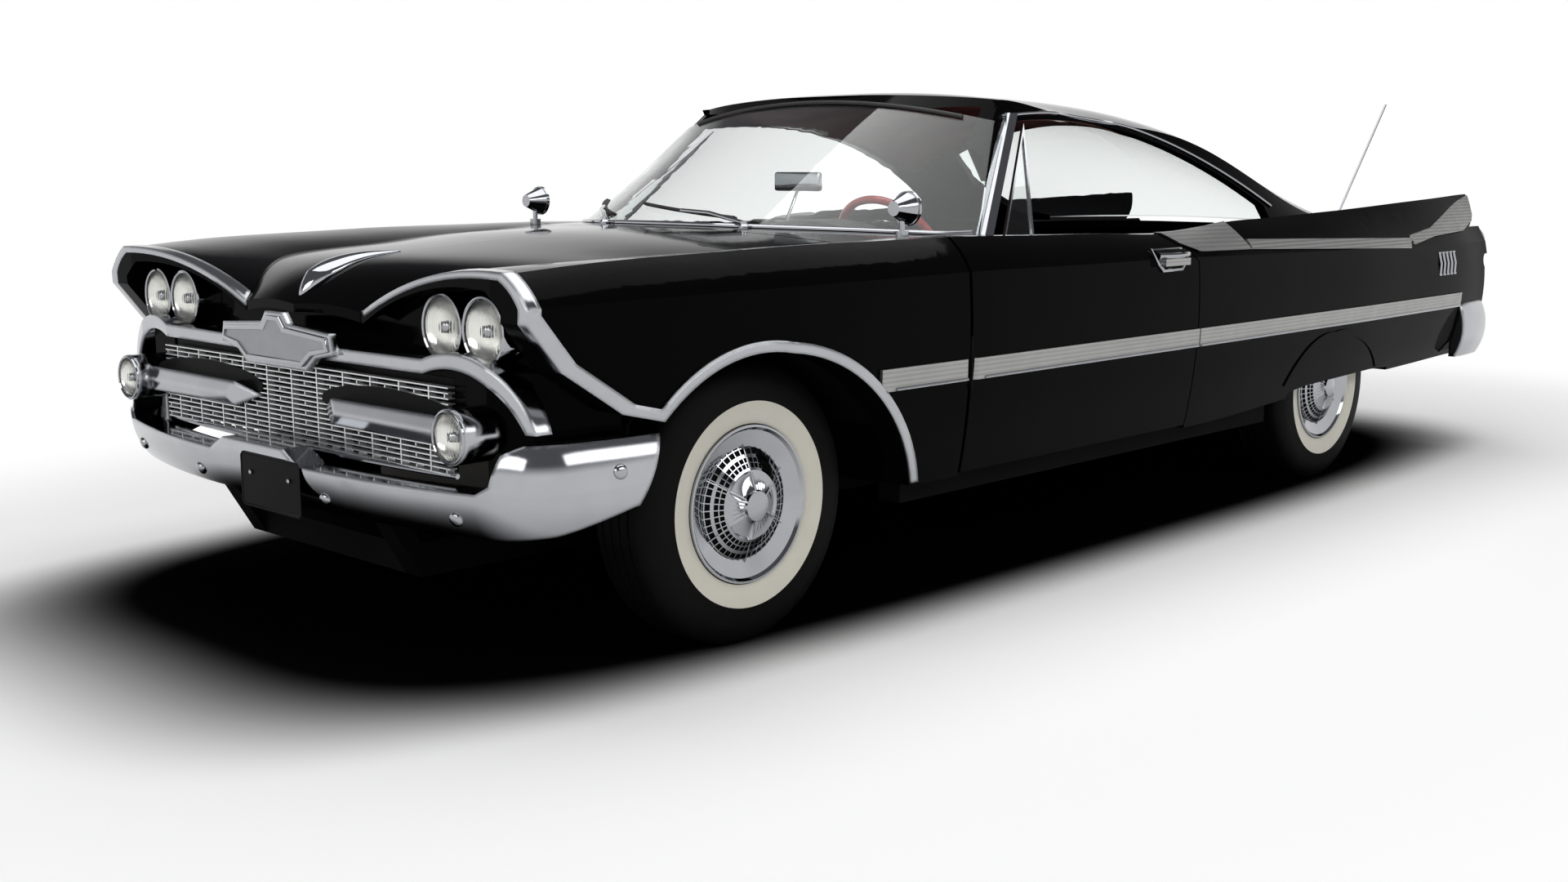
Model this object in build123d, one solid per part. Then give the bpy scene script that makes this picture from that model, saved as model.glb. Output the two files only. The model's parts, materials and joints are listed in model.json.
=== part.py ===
from build123d import *

import math
import os
from collections import namedtuple

# A two-door hardtop of the late 1950s: body panels, glass, trim, cabin and running gear as separate pieces.
# Millimetres, +Z up, floor at Z 0, nose towards -Y, driver's side towards +X. Places along the car are
# stations, counted backwards from the front axle.

# Overall sizes
FRONT_OVERHANG = 852.0
REAR_OVERHANG = 1410.0
WHEELBASE = 3100.0
FRONT_TRACK = 1547.0
REAR_TRACK = 1519.0
LENGTH = FRONT_OVERHANG + WHEELBASE + REAR_OVERHANG
FRONT_AXLE_Y = FRONT_OVERHANG - LENGTH / 2
TAIL_STATION = WHEELBASE + REAR_OVERHANG

# Body shell
WAIST_Z = 640.0
SIDE_WALL = 85.0
TOP_SKIN = 25.0
PANEL_GAP = 6.0
HINGE_GAP = 12.0
CONTACT = 0.3
NOSE_STATION = -760.0
BODY_END_STATION = 4410.0
OUTSIDE_X = 1100.0

# Wheels
TYRE_RADIUS = 355.0
TYRE_WIDTH = 205.0
RIM_RADIUS = 185.0
RIM_HALF_WIDTH = 64.0
COVER_RADIUS = 198.0
HUB_Z = TYRE_RADIUS
SPINDLE_RADIUS = 22.0
SPINDLE_CLEARANCE = 0.08
SPINDLE_REACH = 56.0
KINGPIN_X = 690.0
KINGPIN_RADIUS = 16.0

# Doors, hood and boot lid
DOOR_FRONT = 697.0
DOOR_REAR = 1868.0
DOOR_BOTTOM_Z = 356.0
DOOR_CORNER = ((1868.0, 880.0), (1800.0, 932.0), (1742.0, 1100.0))
CABIN_HALF_WIDTH = 868.0
HOOD_REAR = 450.0
BOOT_FRONT = 3440.0
BOOT_REAR = 4225.0
BOOT_HALF_WIDTH = 640.0
TAIL_FACE = 4330.0
TAIL_PANEL = (4250.0, 4290.0)

# Hinge lines: the doors' upright pins, and the level ones of hood and boot lid
DOOR_HINGE_X = 1007.0
DOOR_HINGE_Z = (590.0, 730.0)
HOOD_HINGE_Z = 1000.0
BOOT_HINGE_Z = 946.5
LID_PINS = ((-170.0, -70.0), (70.0, 170.0))
PIN_CLEARANCE = 0.1

# Number plate bolts on the bracket of the front bumper
PLATE_X = 90.0
PLATE_SPACING = 178.0
PLATE_HOLE_RADIUS = 3.5
PLATE_Z = 440.0

# Side trim
MOULDING_LOW_Z = 612.0
MOULDING_HIGH_Z = 670.0
MOULDING_PROUD = 9.0
MOULDING_END = 42.0
BROW_WIDTH = 32.0
BROW_DEPTH = 25.0
ARCH_LIP = 27.0

Section = namedtuple(
    "Section",
    "station low_x low_z waist_x shoulder_x shoulder_z crest_x crest_z hollow_x hollow_z "
    "valley_x valley_z inner_bulge top_z",
)
# Half sections of the body from nose to tail. crest is the brow, fender top, belt or fin tip, hollow the
# inside corner below it, valley the foot of the crest towards the middle, inner_bulge how far the span
# between crest and valley bows up.
BODY_SECTIONS = [
    Section(NOSE_STATION, 900, 400, 925, 945, 880, 868, 950, 806, 914, 262, 792, 44, 775),
    Section(-690, 915, 390, 940, 955, 884, 874, 955, 811, 918, 280, 838, 38, 872),
    Section(-600, 928, 380, 957, 963, 887, 882, 962, 816, 925, 372, 884, 24, 926),
    Section(-400, 945, 365, 980, 978, 890, 898, 973, 828, 937, 565, 932, 10, 960),
    Section(100, 962, 350, 998, 996, 895, 915, 986, 838, 950, 690, 962, 4, 994),
    Section(DOOR_FRONT, 972, 346, 1008, 1002, 900, 925, 990, 842, 955, 770, 986, 3, 1010),
    Section(DOOR_REAR, 974, 346, 1014, 1008, 895, 926, 970, 842, 930, 800, 958, 3, 966),
    Section(2150, 973, 352, 1014, 1006, 890, 922, 994, 838, 930, 790, 955, -2, 966),
    Section(3100, 960, 392, 1010, 1000, 878, 884, 1018, 804, 905, 720, 938, -8, 962),
    Section(3800, 940, 404, 996, 982, 870, 858, 1042, 790, 880, 706, 912, -10, 934),
    Section(BODY_END_STATION, 915, 412, 972, 955, 865, 826, 1062, 768, 852, 690, 884, -12, 898),
]

LONGEST_SPAN = 450.0

RoofRow = namedtuple("RoofRow", "station base_x edge_x edge_z top_z")
# Half sections of the roof: base where the pillars meet the belt, edge at the drip rail, top at the middle.
ROOF_ROWS = [
    RoofRow(1130, 850, 640, 1318, 1390),
    RoofRow(1600, 852, 652, 1338, 1420),
    RoofRow(2060, 852, 664, 1302, 1414),
    RoofRow(2460, 850, 698, 1226, 1380),
    RoofRow(2800, 846, 752, 1090, 1314),
    RoofRow(3120, 820, 772, 995, 1196),
    RoofRow(3400, 790, 750, 958, 985),
]
ROOF_BASE_Z = 930.0
ROOF_SKIN = 32.0
GLASS_SINK = 8.0
GLASS_THICKNESS = 6.0
SCREEN_THICKNESS = 8.0

# Windscreen: half width and station of its ends, station at the middle, height
SCREEN_BASE = {"half": 850.0, "end": 925.0, "middle": 485.0, "z": 975.0}
SCREEN_TOP = {"half": 615.0, "end": 1319.0, "middle": 1204.0, "z": 1400.0}
SCREEN_CROWN = ((-660.0, 1312.0), (0.0, 1384.0), (660.0, 1312.0))

# Lamps, grille and its surround
LAMP_XS = (600.0, 754.0)
LAMP_Z = 822.0
LAMP_RADIUS = 76.5
LAMP_RIM = 8.0
LAMP_FACE = -692.0
NOSE_FACE = -648.0
GRILLE_WALL = -708.0
PANEL_DEPTH = 30.0
POD_X = 754.0
POD_Z = 602.0
POD_RADIUS = 62.0
POD_RIM = 9.0
POD_FACE = -798.0
SHELF_Z = (716.0, 735.0)
GRILLE_HALF = 668.0
GRILLE_Z = (500.0, 694.0)
GRILLE_FACE = -732.0
GRILLE_BAR = 3.0

# Tail lamps: x, z, radius, end of the tube
TAIL_LAMPS = ((868.0, 866.0, 58.0, 4385.0), (884.0, 712.0, 58.0, 4328.0))
TAIL_TUBE_START = 4252.0

# Steering: hub of the wheel as x, station, z, and the column's lean from the level
STEER_HUB = (370.0, 1130.0, 905.0)
STEER_LEAN = 30.0
COLUMN_RADIUS = 26.0
COLUMN_LENGTH = 577.7
COLUMN_MIDDLE = -321.15

ArchPoint = namedtuple("ArchPoint", "station z along up")
# Front wheel opening from its front foot over the top to its rear foot, and which way each point grows
ARCH_POINTS = [
    ArchPoint(-400, 600, -1.0, 0.2),
    ArchPoint(-235, 716, -0.5, 0.85),
    ArchPoint(14, 738, 0.0, 1.0),
    ArchPoint(330, 598, 0.75, 0.65),
    ArchPoint(497, 330, 1.0, 0.0),
]
# Raised lip of the rear wheel opening, in the same columns
SKIRT_POINTS = [
    ArchPoint(2530, 386, -1.0, 0.0),
    ArchPoint(2620, 496, -0.8, 0.6),
    ArchPoint(2850, 566, 0.0, 1.0),
    ArchPoint(3165, 508, 0.8, 0.6),
    ArchPoint(3300, 410, 1.0, 0.0),
]
SKIRT_LIP = 24.0
SKIRT_PROUD = 5.0
REAR_HOUSE_RADIUS = 418.0
REAR_HOUSE_Z = 325.0
HOUSE_LOW_Z = 510.0
HOUSE_SKIN = 8.0
HOUSE_OUTER_X = 940.0

# Outlines in plan, as (station, x), and from the side, as (station, z)
HOOD_EDGE = [(-800, 262), (-697, 268), (-600, 362), (-400, 552), (100, 680), (HOOD_REAR, 705)]
FRONT_OUTLINE = [(-718, 0), (-697, 268), (-735, 830), (-735, OUTSIDE_X)]
UNDERCUT = [(-950, 940), (-778, 905), (-651, 744), (-500, 643), (-372, 612), (-372, 200), (-950, 200)]
CABIN_OPENING = [
    (570, 0),
    (700, 470),
    (965, 770),
    (965, CABIN_HALF_WIDTH),
    (2700, CABIN_HALF_WIDTH),
    (2720, 780),
    (3240, 690),
    (3320, 0),
]
REAR_ARCH = [(2545, 300), (2580, 392), (2700, 404), (3250, 416), (3420, 410), (3440, 300)]
FIN_SPEAR = [(1756, 975), (1800, 940), (1890, 912), (2215, 908), (2135, 1040), (1756, 1040)]
FIN_STRIP = [(2222, 908), (3480, 868), (3520, 905), (2222, 940)]
FIN_END = [(3527, 880), (3760, 905), (4100, 918), (4200, 940), (4080, 968), (3760, 936), (3535, 915)]


def y_of(station):
    """The Y place of a station."""
    return FRONT_AXLE_Y + station


def both(shape):
    """A left-hand shape and its mirror image, as one list of solids."""
    return shape.solids() + mirror(shape, about=Plane.YZ).solids()


def joined(shape):
    """A left half that reaches the middle plane, fused with its mirror image."""
    return shape + mirror(shape, about=Plane.YZ)


def mirrored(shape):
    """The right-hand twin of a left-hand shape."""
    return mirror(shape, about=Plane.YZ)


def plan_prism(outline, low, high):
    """An upright prism over an outline of (station, x) points."""
    wire = Polyline(*[(x, y_of(station), low) for station, x in outline], close=True)
    return extrude(make_face(wire), high - low, dir=(0, 0, 1))


def side_prism(outline, near, far):
    """A prism across the car over an outline of (station, z) points, from x near to x far."""
    wire = Polyline(*[(near, y_of(station), z) for station, z in outline], close=True)
    return extrude(make_face(wire), far - near, dir=(1, 0, 0))


def front_prism(outline, front, rear):
    """A prism along the car over an outline of (x, z) points, between two stations."""
    wire = Polyline(*[(x, y_of(front), z) for x, z in outline], close=True)
    return extrude(make_face(wire), rear - front, dir=(0, 1, 0))


def arch_prism(points, grow, near, far):
    """A wheel opening as a prism across the car: two arcs over the top and straight legs, grown by grow."""
    places = [(near, y_of(p.station + p.along * grow), p.z + p.up * grow) for p in points]
    front, shoulder, top, haunch, rear = places
    front_foot = (near, front[1], 0)
    rear_foot = (near, rear[1], 0)
    arcs = [ThreePointArc(front, shoulder, top), ThreePointArc(top, haunch, rear)]
    legs = [Line(rear, rear_foot), Line(rear_foot, front_foot), Line(front_foot, front)]
    return extrude(make_face(Wire(arcs + legs)), far - near, dir=(1, 0, 0))


def block(x_range, station_range, z_range):
    """A box between two x, two stations and two heights."""
    size = [high - low for low, high in (x_range, station_range, z_range)]
    middle = [(low + high) / 2 for low, high in (x_range, station_range, z_range)]
    return Pos(middle[0], y_of(middle[1]), middle[2]) * Box(*size)


def rod_across(x_range, station, z, radius):
    """A round bar across the car."""
    return Pos(sum(x_range) / 2, y_of(station), z) * Rot(0, 90, 0) * Cylinder(radius, x_range[1] - x_range[0])


def rod_along(x, station_range, z, radius):
    """A round bar along the car."""
    middle = sum(station_range) / 2
    return Pos(x, y_of(middle), z) * Rot(90, 0, 0) * Cylinder(radius, station_range[1] - station_range[0])


def rod_up(x, station, z_range, radius):
    """An upright round bar."""
    return Pos(x, y_of(station), sum(z_range) / 2) * Cylinder(radius, z_range[1] - z_range[0])


def spun(profile, x, station, z, side=1):
    """A shape of revolution about an axle through (station, z), from (offset outwards, radius) points."""
    points = [(x + side * offset, y_of(station), z + radius) for offset, radius in profile]
    axle = Axis((x, y_of(station), z), (1, 0, 0))
    return revolve(make_face(Polyline(*points, close=True)), axle)


def body_wire(row, proud=0.0):
    """The outer half section of the body at one row, moved outwards by proud."""
    y = y_of(row.station)
    rise = proud / 2
    low = (row.low_x + proud, y, row.low_z)
    waist = (row.waist_x + proud, y, WAIST_Z)
    shoulder = (row.shoulder_x + proud, y, row.shoulder_z)
    crest = (row.crest_x + rise, y, row.crest_z + rise)
    valley = (row.valley_x, y, row.valley_z + rise)
    flank = ((shoulder[0] + crest[0]) / 2 + 5, y, (shoulder[2] + crest[2]) / 2 + 5)
    slope = ((crest[0] + valley[0]) / 2, y, (crest[2] + valley[2]) / 2 + row.inner_bulge)
    crown = (row.valley_x / 2, y, row.top_z - (row.top_z - row.valley_z) / 4 + rise)
    top = (0, y, row.top_z + rise)
    foot = (0, y, row.low_z)
    return Wire(
        [
            Line(foot, low),
            ThreePointArc(low, waist, shoulder),
            ThreePointArc(shoulder, flank, crest),
            ThreePointArc(crest, slope, valley),
            ThreePointArc(valley, crown, top),
            Line(top, foot),
        ]
    )


def hollow_wire(row, overrun, skin):
    """The half section of the space inside the body, open below; overrun carries it past both ends."""
    y = y_of(row.station) + overrun
    depth = row.low_z - 120
    low = (row.low_x - SIDE_WALL, y, depth)
    waist = (row.waist_x - SIDE_WALL, y, WAIST_Z)
    shoulder = (row.shoulder_x - SIDE_WALL, y, min(row.shoulder_z, row.hollow_z) - 8)
    corner = (row.hollow_x, y, row.hollow_z - skin + TOP_SKIN)
    valley = (row.valley_x, y, row.valley_z - skin)
    slope = ((corner[0] + valley[0]) / 2, y, (corner[2] + valley[2]) / 2 + row.inner_bulge)
    crown = (row.valley_x / 2, y, row.top_z - (row.top_z - row.valley_z) / 4 - skin)
    top = (0, y, row.top_z - skin)
    foot = (0, y, depth)
    return Wire(
        [
            Line(foot, low),
            ThreePointArc(low, waist, shoulder),
            Line(shoulder, corner),
            ThreePointArc(corner, slope, valley),
            ThreePointArc(valley, crown, top),
            Line(top, foot),
        ]
    )


def graded_sections():
    """The body's sections, with evenly mixed ones between those that lie far apart."""
    rows = [BODY_SECTIONS[0]]
    for last, row in zip(BODY_SECTIONS, BODY_SECTIONS[1:]):
        steps = math.ceil((row.station - last.station) / LONGEST_SPAN)
        for i in range(1, steps + 1):
            rows.append(Section(*[a + (b - a) * i / steps for a, b in zip(last, row)]))
    return rows


def body_solid(proud=0.0):
    """The left half of the body as one closed form."""
    return Solid.make_loft([body_wire(row, proud) for row in graded_sections()])


def hollow_solid(skin=TOP_SKIN):
    """The left half of the space inside the body."""
    rows = graded_sections()
    overruns = [-20] + [0] * (len(rows) - 2) + [20]
    return Solid.make_loft([hollow_wire(row, over, skin) for row, over in zip(rows, overruns)])


def roof_solid(inset=0.0):
    """The left half of the roof and upper sides as one closed form, shrunk by inset."""
    wires = []
    for row in ROOF_ROWS:
        y = y_of(row.station)
        foot = (0, y, ROOF_BASE_Z)
        base = (row.base_x - inset, y, ROOF_BASE_Z)
        edge = (row.edge_x - inset, y, row.edge_z - inset / 2)
        crown = (row.edge_x / 2, y, row.top_z - (row.top_z - row.edge_z) / 4 - inset)
        top = (0, y, row.top_z - inset)
        wires.append(
            Wire([Line(foot, base), Line(base, edge), ThreePointArc(edge, crown, top), Line(top, foot)])
        )
    return Solid.make_loft(wires)


BODY = body_solid()
HOLLOW = hollow_solid()
SHELL = BODY - HOLLOW
PROUD_BODY = body_solid(MOULDING_PROUD)
LIP_BODY = body_solid(SKIRT_PROUD)
BROW_CORE = body_solid(-BROW_DEPTH)


def skin_patch(region, outer=PROUD_BODY, inner=BODY):
    """What lies between two nested body forms inside a region: a trim piece that follows the body."""
    return (outer & region) - (inner & region)


def front_void(margin=0.0):
    """What is cut away in front of and below the brow, grown backwards by margin."""
    ahead = [(station + margin, x) for station, x in FRONT_OUTLINE] + [(-1000, OUTSIDE_X), (-1000, 0)]
    under = [(station + margin, z + margin * 0.6) for station, z in UNDERCUT]
    low = [(-900, 200), (-900, 800), (-500, 800), (-300, 200)]
    return plan_prism(ahead, 300, 1200) + side_prism(under, 850, OUTSIDE_X) + side_prism(low, 700, 851)


def fender_region():
    """Everything outside the hood's edge and ahead of the door, over the left front wheel."""
    edge = [(station, x + PANEL_GAP / 2) for station, x in HOOD_EDGE]
    rear = DOOR_FRONT - HINGE_GAP / 2
    outline = edge + [(HOOD_REAR, 742), (rear, 742), (rear, OUTSIDE_X), (-800, OUTSIDE_X)]
    return plan_prism(outline, 300, 1100)


def front_fender():
    """Left front fender, its wheel arch open to the outside."""
    strip = front_void(BROW_WIDTH) - front_void()
    panel = (SHELL & fender_region()) - front_void() - arch_prism(ARCH_POINTS, 0, 500, OUTSIDE_X)
    return panel - (strip - BROW_CORE)


def brow_moulding():
    """Bright brow over the left headlamps and down the fender, and the lip round the wheel arch."""
    strip = (front_void(BROW_WIDTH) - front_void()) & fender_region()
    arch = arch_prism(ARCH_POINTS, 0, 500, OUTSIDE_X)
    brow = skin_patch(strip, PROUD_BODY, BROW_CORE) - arch
    ring = arch_prism(ARCH_POINTS, ARCH_LIP, 900, OUTSIDE_X) - arch
    ring -= block((899, OUTSIDE_X + 1), (-500, 1000), (-1, DOOR_BOTTOM_Z))
    lip = skin_patch(ring - front_void(BROW_WIDTH + CONTACT))
    return brow.solids() + lip.solids()


def hood():
    """Hood panel, as wide as the valley between the fenders, its nose rolled down to the lip."""
    edge = [(station, x - PANEL_GAP / 2) for station, x in HOOD_EDGE]
    region = plan_prism([(-800, 0)] + edge + [(HOOD_REAR, 0)], 600, 1200)
    panel = joined((SHELL & region) - front_void())
    return panel + lid_pins(HOOD_REAR, HOOD_REAR + PANEL_GAP / 2, HOOD_HINGE_Z)


def lid_pins(edge, station, z):
    """Hinge pins in the gap at a lid's edge, each on a short web."""
    pins = None
    for x_range in LID_PINS:
        web = block(x_range, sorted((edge + (edge - station) / 3, station)), (z - 2.5, z + 2.5))
        pin = rod_across(x_range, station, z, PANEL_GAP / 2 - PIN_CLEARANCE) + web
        pins = pin if pins is None else pins + pin
    return pins


def cowl_panel():
    """Panel between hood and windscreen, with the feet of the windscreen pillars."""
    start = HOOD_REAR + PANEL_GAP
    inner = CABIN_HALF_WIDTH
    outline = [(start, 0), (start, 742), (DOOR_FRONT, 742), (DOOR_FRONT, inner), (965, inner), (965, 0)]
    return joined((SHELL & plan_prism(outline, 600, 1100)) - plan_prism(CABIN_OPENING, 500, 1200))


def door_outline(grow):
    """The left door from the side, its rear top corner cut back under the fin's spear, grown by grow."""
    front = DOOR_FRONT + HINGE_GAP / 2 - grow
    rear = [(station - PANEL_GAP / 2 + grow, z) for station, z in DOOR_CORNER]
    return [(front, DOOR_BOTTOM_Z), (rear[0][0], DOOR_BOTTOM_Z)] + rear + [(front, rear[-1][1])]


def door_panel():
    """Left door, as thick as the whole door."""
    front = DOOR_FRONT + HINGE_GAP / 2
    panel = SHELL & side_prism(door_outline(0), CABIN_HALF_WIDTH + PANEL_GAP, OUTSIDE_X)
    web = block((DOOR_HINGE_X - 4, DOOR_HINGE_X), (DOOR_FRONT, front + 2), DOOR_HINGE_Z)
    return panel + web + rod_up(DOOR_HINGE_X, DOOR_FRONT, DOOR_HINGE_Z, HINGE_GAP / 2 - PIN_CLEARANCE)


def boot_outline(grow):
    """Plan of the left half of the boot lid, grown by grow."""
    wide = BOOT_HALF_WIDTH + grow
    front, rear = BOOT_FRONT - grow, BOOT_REAR + grow
    ahead = [(front, 0), (front, wide - 60), (front + 70, wide)]
    return ahead + [(rear - 40, wide - 20), (rear, wide - 60), (rear, 0)]


def tail_strip():
    """The last stretch of the body between the fins, behind the boot lid."""
    start = BOOT_REAR + PANEL_GAP
    wide = BOOT_HALF_WIDTH
    return plan_prism([(start, 0), (start, wide), (TAIL_FACE, wide), (TAIL_FACE, 0)], 200, 1200)


def tail_cut():
    """What is cut away behind the tail: the scoop under the fin's tip, and between and below the lamps."""
    near = 500
    tip = (near, y_of(4404), 1066)
    notch = (near, y_of(4215), 930)
    bend = (near, y_of(4312), 974)
    pod_top = (near, y_of(TAIL_FACE), 930)
    pod_low = (near, y_of(TAIL_FACE), 815)
    scoop = (near, y_of(4284), 788)
    lower_top = (near, y_of(4296), 760)
    foot = (near, y_of(4290), 300)
    far = [(near, y_of(4600), z) for z in (300, 1066)]
    edges = [ThreePointArc(tip, bend, notch), Line(notch, pod_top), Line(pod_top, pod_low)]
    edges += [ThreePointArc(pod_low, scoop, lower_top), Line(lower_top, foot)]
    edges += [Line(foot, far[0]), Line(far[0], far[1]), Line(far[1], tip)]
    return extrude(make_face(Wire(edges)), OUTSIDE_X - near, dir=(1, 0, 0))


def lamp_bores():
    """Room for the left tail lamp tubes."""
    bores = None
    for x, z, radius, end in TAIL_LAMPS:
        bore = rod_along(x, (TAIL_TUBE_START - CONTACT, end + 100), z, radius + CONTACT)
        bores = bore if bores is None else bores + bore
    return bores


def quarter_panel():
    """Left rear quarter with its fin and the deck beside the boot lid."""
    start = DOOR_REAR - 200
    region = plan_prism([(start, 0), (start, OUTSIDE_X), (4500, OUTSIDE_X), (4500, 0)], 200, 1200)
    region -= side_prism([(start, 100)] + door_outline(PANEL_GAP)[1:-1] + [(start, 1100)], 0, OUTSIDE_X + 1)
    region -= block((0, OUTSIDE_X + 1), (start - 1, DOOR_REAR + PANEL_GAP / 2), (100, DOOR_BOTTOM_Z + 1))
    cut = plan_prism(CABIN_OPENING, 200, 1200) + plan_prism(boot_outline(PANEL_GAP), 200, 1200)
    arch = side_prism(REAR_ARCH, 700, OUTSIDE_X)
    return (SHELL & region) - cut - tail_strip() - tail_cut() - arch - lamp_bores()


def deck_and_quarters():
    """Both quarters, joined by the deck in front of the boot lid."""
    return joined(quarter_panel())


def skirt_lips():
    """Raised lips round the rear wheel openings."""
    near, far = 900, OUTSIDE_X
    ring = arch_prism(SKIRT_POINTS, SKIRT_LIP, near, far) - arch_prism(SKIRT_POINTS, 0, near - 1, far + 1)
    below = [(2300, 0), (2300, 420), (2545, 420), (3440, 424), (3600, 424), (3600, 0)]
    ring -= side_prism(below, near - 1, far + 1)
    return both(skin_patch(ring, LIP_BODY, BODY))


def boot_lid():
    """Boot lid between the fins."""
    panel = joined(SHELL & plan_prism(boot_outline(0), 600, 1200))
    return panel + lid_pins(BOOT_FRONT, BOOT_FRONT - PANEL_GAP / 2, BOOT_HINGE_Z)


def tail_panel():
    """Upright panel that closes the tail below the boot lid."""
    slab = HOLLOW & block((0, 900), TAIL_PANEL, (440, 1000))
    return joined((slab + (SHELL & tail_strip())) - lamp_bores())


def nose_panel():
    """Painted panel behind the headlamps, the wall round the grille and the shelf between them."""
    room = hollow_solid(TOP_SKIN + PANEL_GAP)
    panel = None
    for face, low, high in ((NOSE_FACE, SHELF_Z[0], 1000), (GRILLE_WALL, 560, SHELF_Z[1])):
        back = face + PANEL_DEPTH
        outer = [(face, 0), (face, 770), (face + 60, 856), (-510, 905), (-430, 912)]
        inner = [(-430, 882), (-500, 875), (back + 55, 828), (back, 752), (back, 0)]
        wall = plan_prism(outer + inner, low, high) & room
        panel = wall if panel is None else panel + wall
    panel += block((0, 770), (GRILLE_WALL, NOSE_FACE + PANEL_DEPTH), SHELF_Z) & room
    opening = block((-1, 655), (-800, GRILLE_WALL + PANEL_DEPTH + 1), (500, SHELF_Z[0]))
    return joined(panel - opening)


def roof_panel():
    """Roof with its rear pillars, open at the side windows, windscreen and rear window."""
    shell = roof_solid() - roof_solid(ROOF_SKIN)
    shell = shell - screen_front() - side_window() - plan_prism(rear_opening(0), 900, 1500)
    return joined(shell - BODY - block((0, 1000), (1000, 2690), (900, 1010)))


def screen_front():
    """Everything ahead of the back of the windscreen."""
    wires = []
    for place in (SCREEN_BASE, SCREEN_TOP):
        back = SCREEN_THICKNESS + CONTACT
        left, right = [(side * place["half"], y_of(place["end"]) + back, place["z"]) for side in (1, -1)]
        middle = (0, y_of(place["middle"]) + back, place["z"])
        far_left, far_right = [(side * place["half"], y_of(100), place["z"]) for side in (1, -1)]
        edges = [ThreePointArc(left, middle, right), Line(right, far_right)]
        wires.append(Wire(edges + [Line(far_right, far_left), Line(far_left, left)]))
    return Solid.make_loft(wires, ruled=True)


def side_window():
    """The open side window under the drip rail, cut across the left of the car."""
    drip = [(1270, 1304), (1900, 1296), (2690, 1040)]
    points = [(500, y_of(station), z) for station, z in drip]
    front = (500, y_of(940), 900)
    rear = (500, y_of(2690), 900)
    wire = Wire([Line(front, points[0]), ThreePointArc(*points), Line(points[2], rear), Line(rear, front)])
    return extrude(make_face(wire), 500, dir=(1, 0, 0))


def rear_opening(shrink):
    """Plan of the left half of the rear window opening, drawn in by shrink."""
    front = [(2560 + shrink, 0), (2600 + shrink, 540 - shrink), (2860, 640 - shrink)]
    return front + [(3330, 690 - shrink), (3420, 600 - shrink), (3430, 0)]


def rear_window():
    """Rear window, a curved pane that follows the roof's line."""
    pane = roof_solid(GLASS_SINK) - roof_solid(GLASS_SINK + GLASS_THICKNESS)
    return joined((pane & plan_prism(rear_opening(CONTACT), 900, 1500)) - BODY)


def screen_wire(place):
    """Level outline of the windscreen at one height: an arc, the same arc moved back, and two short ends."""
    left = (place["half"], y_of(place["end"]), place["z"])
    middle = (0, y_of(place["middle"]), place["z"])
    right = (-place["half"], y_of(place["end"]), place["z"])
    shift = Vector(0, SCREEN_THICKNESS, 0)
    a, b, c = (tuple(Vector(*p) + shift) for p in (left, middle, right))
    return Wire([ThreePointArc(left, middle, right), Line(right, c), ThreePointArc(c, b, a), Line(a, left)])


def windscreen():
    """Wrap-round windscreen, one curved pane with a crowned upper edge."""
    pane = Solid.make_loft([screen_wire(SCREEN_BASE), screen_wire(SCREEN_TOP)], ruled=True)
    left, middle, right = [(x, y_of(300), z) for x, z in SCREEN_CROWN]
    high = 1600
    sides = ((1, right[2]), (1, high), (-1, high), (-1, left[2]))
    corners = [(side * OUTSIDE_X, y_of(300), z) for side, z in sides]
    edges = [ThreePointArc(left, middle, right), Line(right, corners[0])]
    edges += [Line(a, b) for a, b in zip(corners, corners[1:] + [left])]
    above = extrude(make_face(Wire(edges)), 1200, dir=(0, 1, 0))
    return pane - above - joined(BODY)


def pillar_bar(foot, head, size):
    """A straight tapered bar between two level rectangles: foot and head are (x, station, z) corners."""
    wires = []
    for (x, station, z), (wide, deep) in ((foot, size), (head, size)):
        corners = [(x, station), (x + wide, station), (x + wide, station + deep), (x, station + deep)]
        wires.append(Polyline(*[(cx, y_of(cs), z) for cx, cs in corners], close=True))
    return Solid.make_loft([Wire(w.edges()) for w in wires], ruled=True)


def windscreen_frame():
    """Bright windscreen pillars, one each side."""
    bar = pillar_bar((843, 918, 960), (638, 1312, 1336), (32, 40))
    return both(bar - BODY - roof_solid())


def leaning_plate(corners, thick):
    """A flat plate through three (x, station, z) corners."""
    face = make_face(Polyline(*[(x, y_of(station), z) for x, station, z in corners], close=True))
    return extrude(face, thick / 2, both=True)


def vent_window():
    """Frame and pane of the left door's vent window."""
    corners = [(892, 985, 962), (908, 1112, 962), (676, 1368, 1302)]
    middle = [sum(values) / 3 for values in zip(*corners)]
    inner = [tuple(m + 0.84 * (c - m) for c, m in zip(corner, middle)) for corner in corners]
    frame = leaning_plate(corners, 14) - leaning_plate(inner, 30) - BODY
    pane = leaning_plate(inner, 5) - BODY
    return frame, pane


def tyre(x, station, side):
    """Tyre with sloping walls and a flat tread."""
    half = TYRE_WIDTH / 2
    wall = [(half * 0.62, RIM_RADIUS), (half, RIM_RADIUS + 76), (half * 0.66, TYRE_RADIUS)]
    profile = [(-offset, radius) for offset, radius in wall] + list(reversed(wall))
    return spun(profile, x, station, HUB_Z, side)


def wheel(x, station, side):
    """Steel wheel with brake drum and a dished bright cover; the hub is bored for its spindle."""
    bore = SPINDLE_RADIUS + SPINDLE_CLEARANCE
    hub_end = SPINDLE_REACH + 4
    profile = [
        (-8, bore),
        (-8, 130),
        (-RIM_HALF_WIDTH, RIM_RADIUS),
        (RIM_HALF_WIDTH, RIM_RADIUS),
        (92, COVER_RADIUS),
        (62, 110),
        (90, 44),
        (98, 0),
        (hub_end, 0),
        (hub_end, bore),
    ]
    return spun(profile, x, station, HUB_Z, side)


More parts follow.
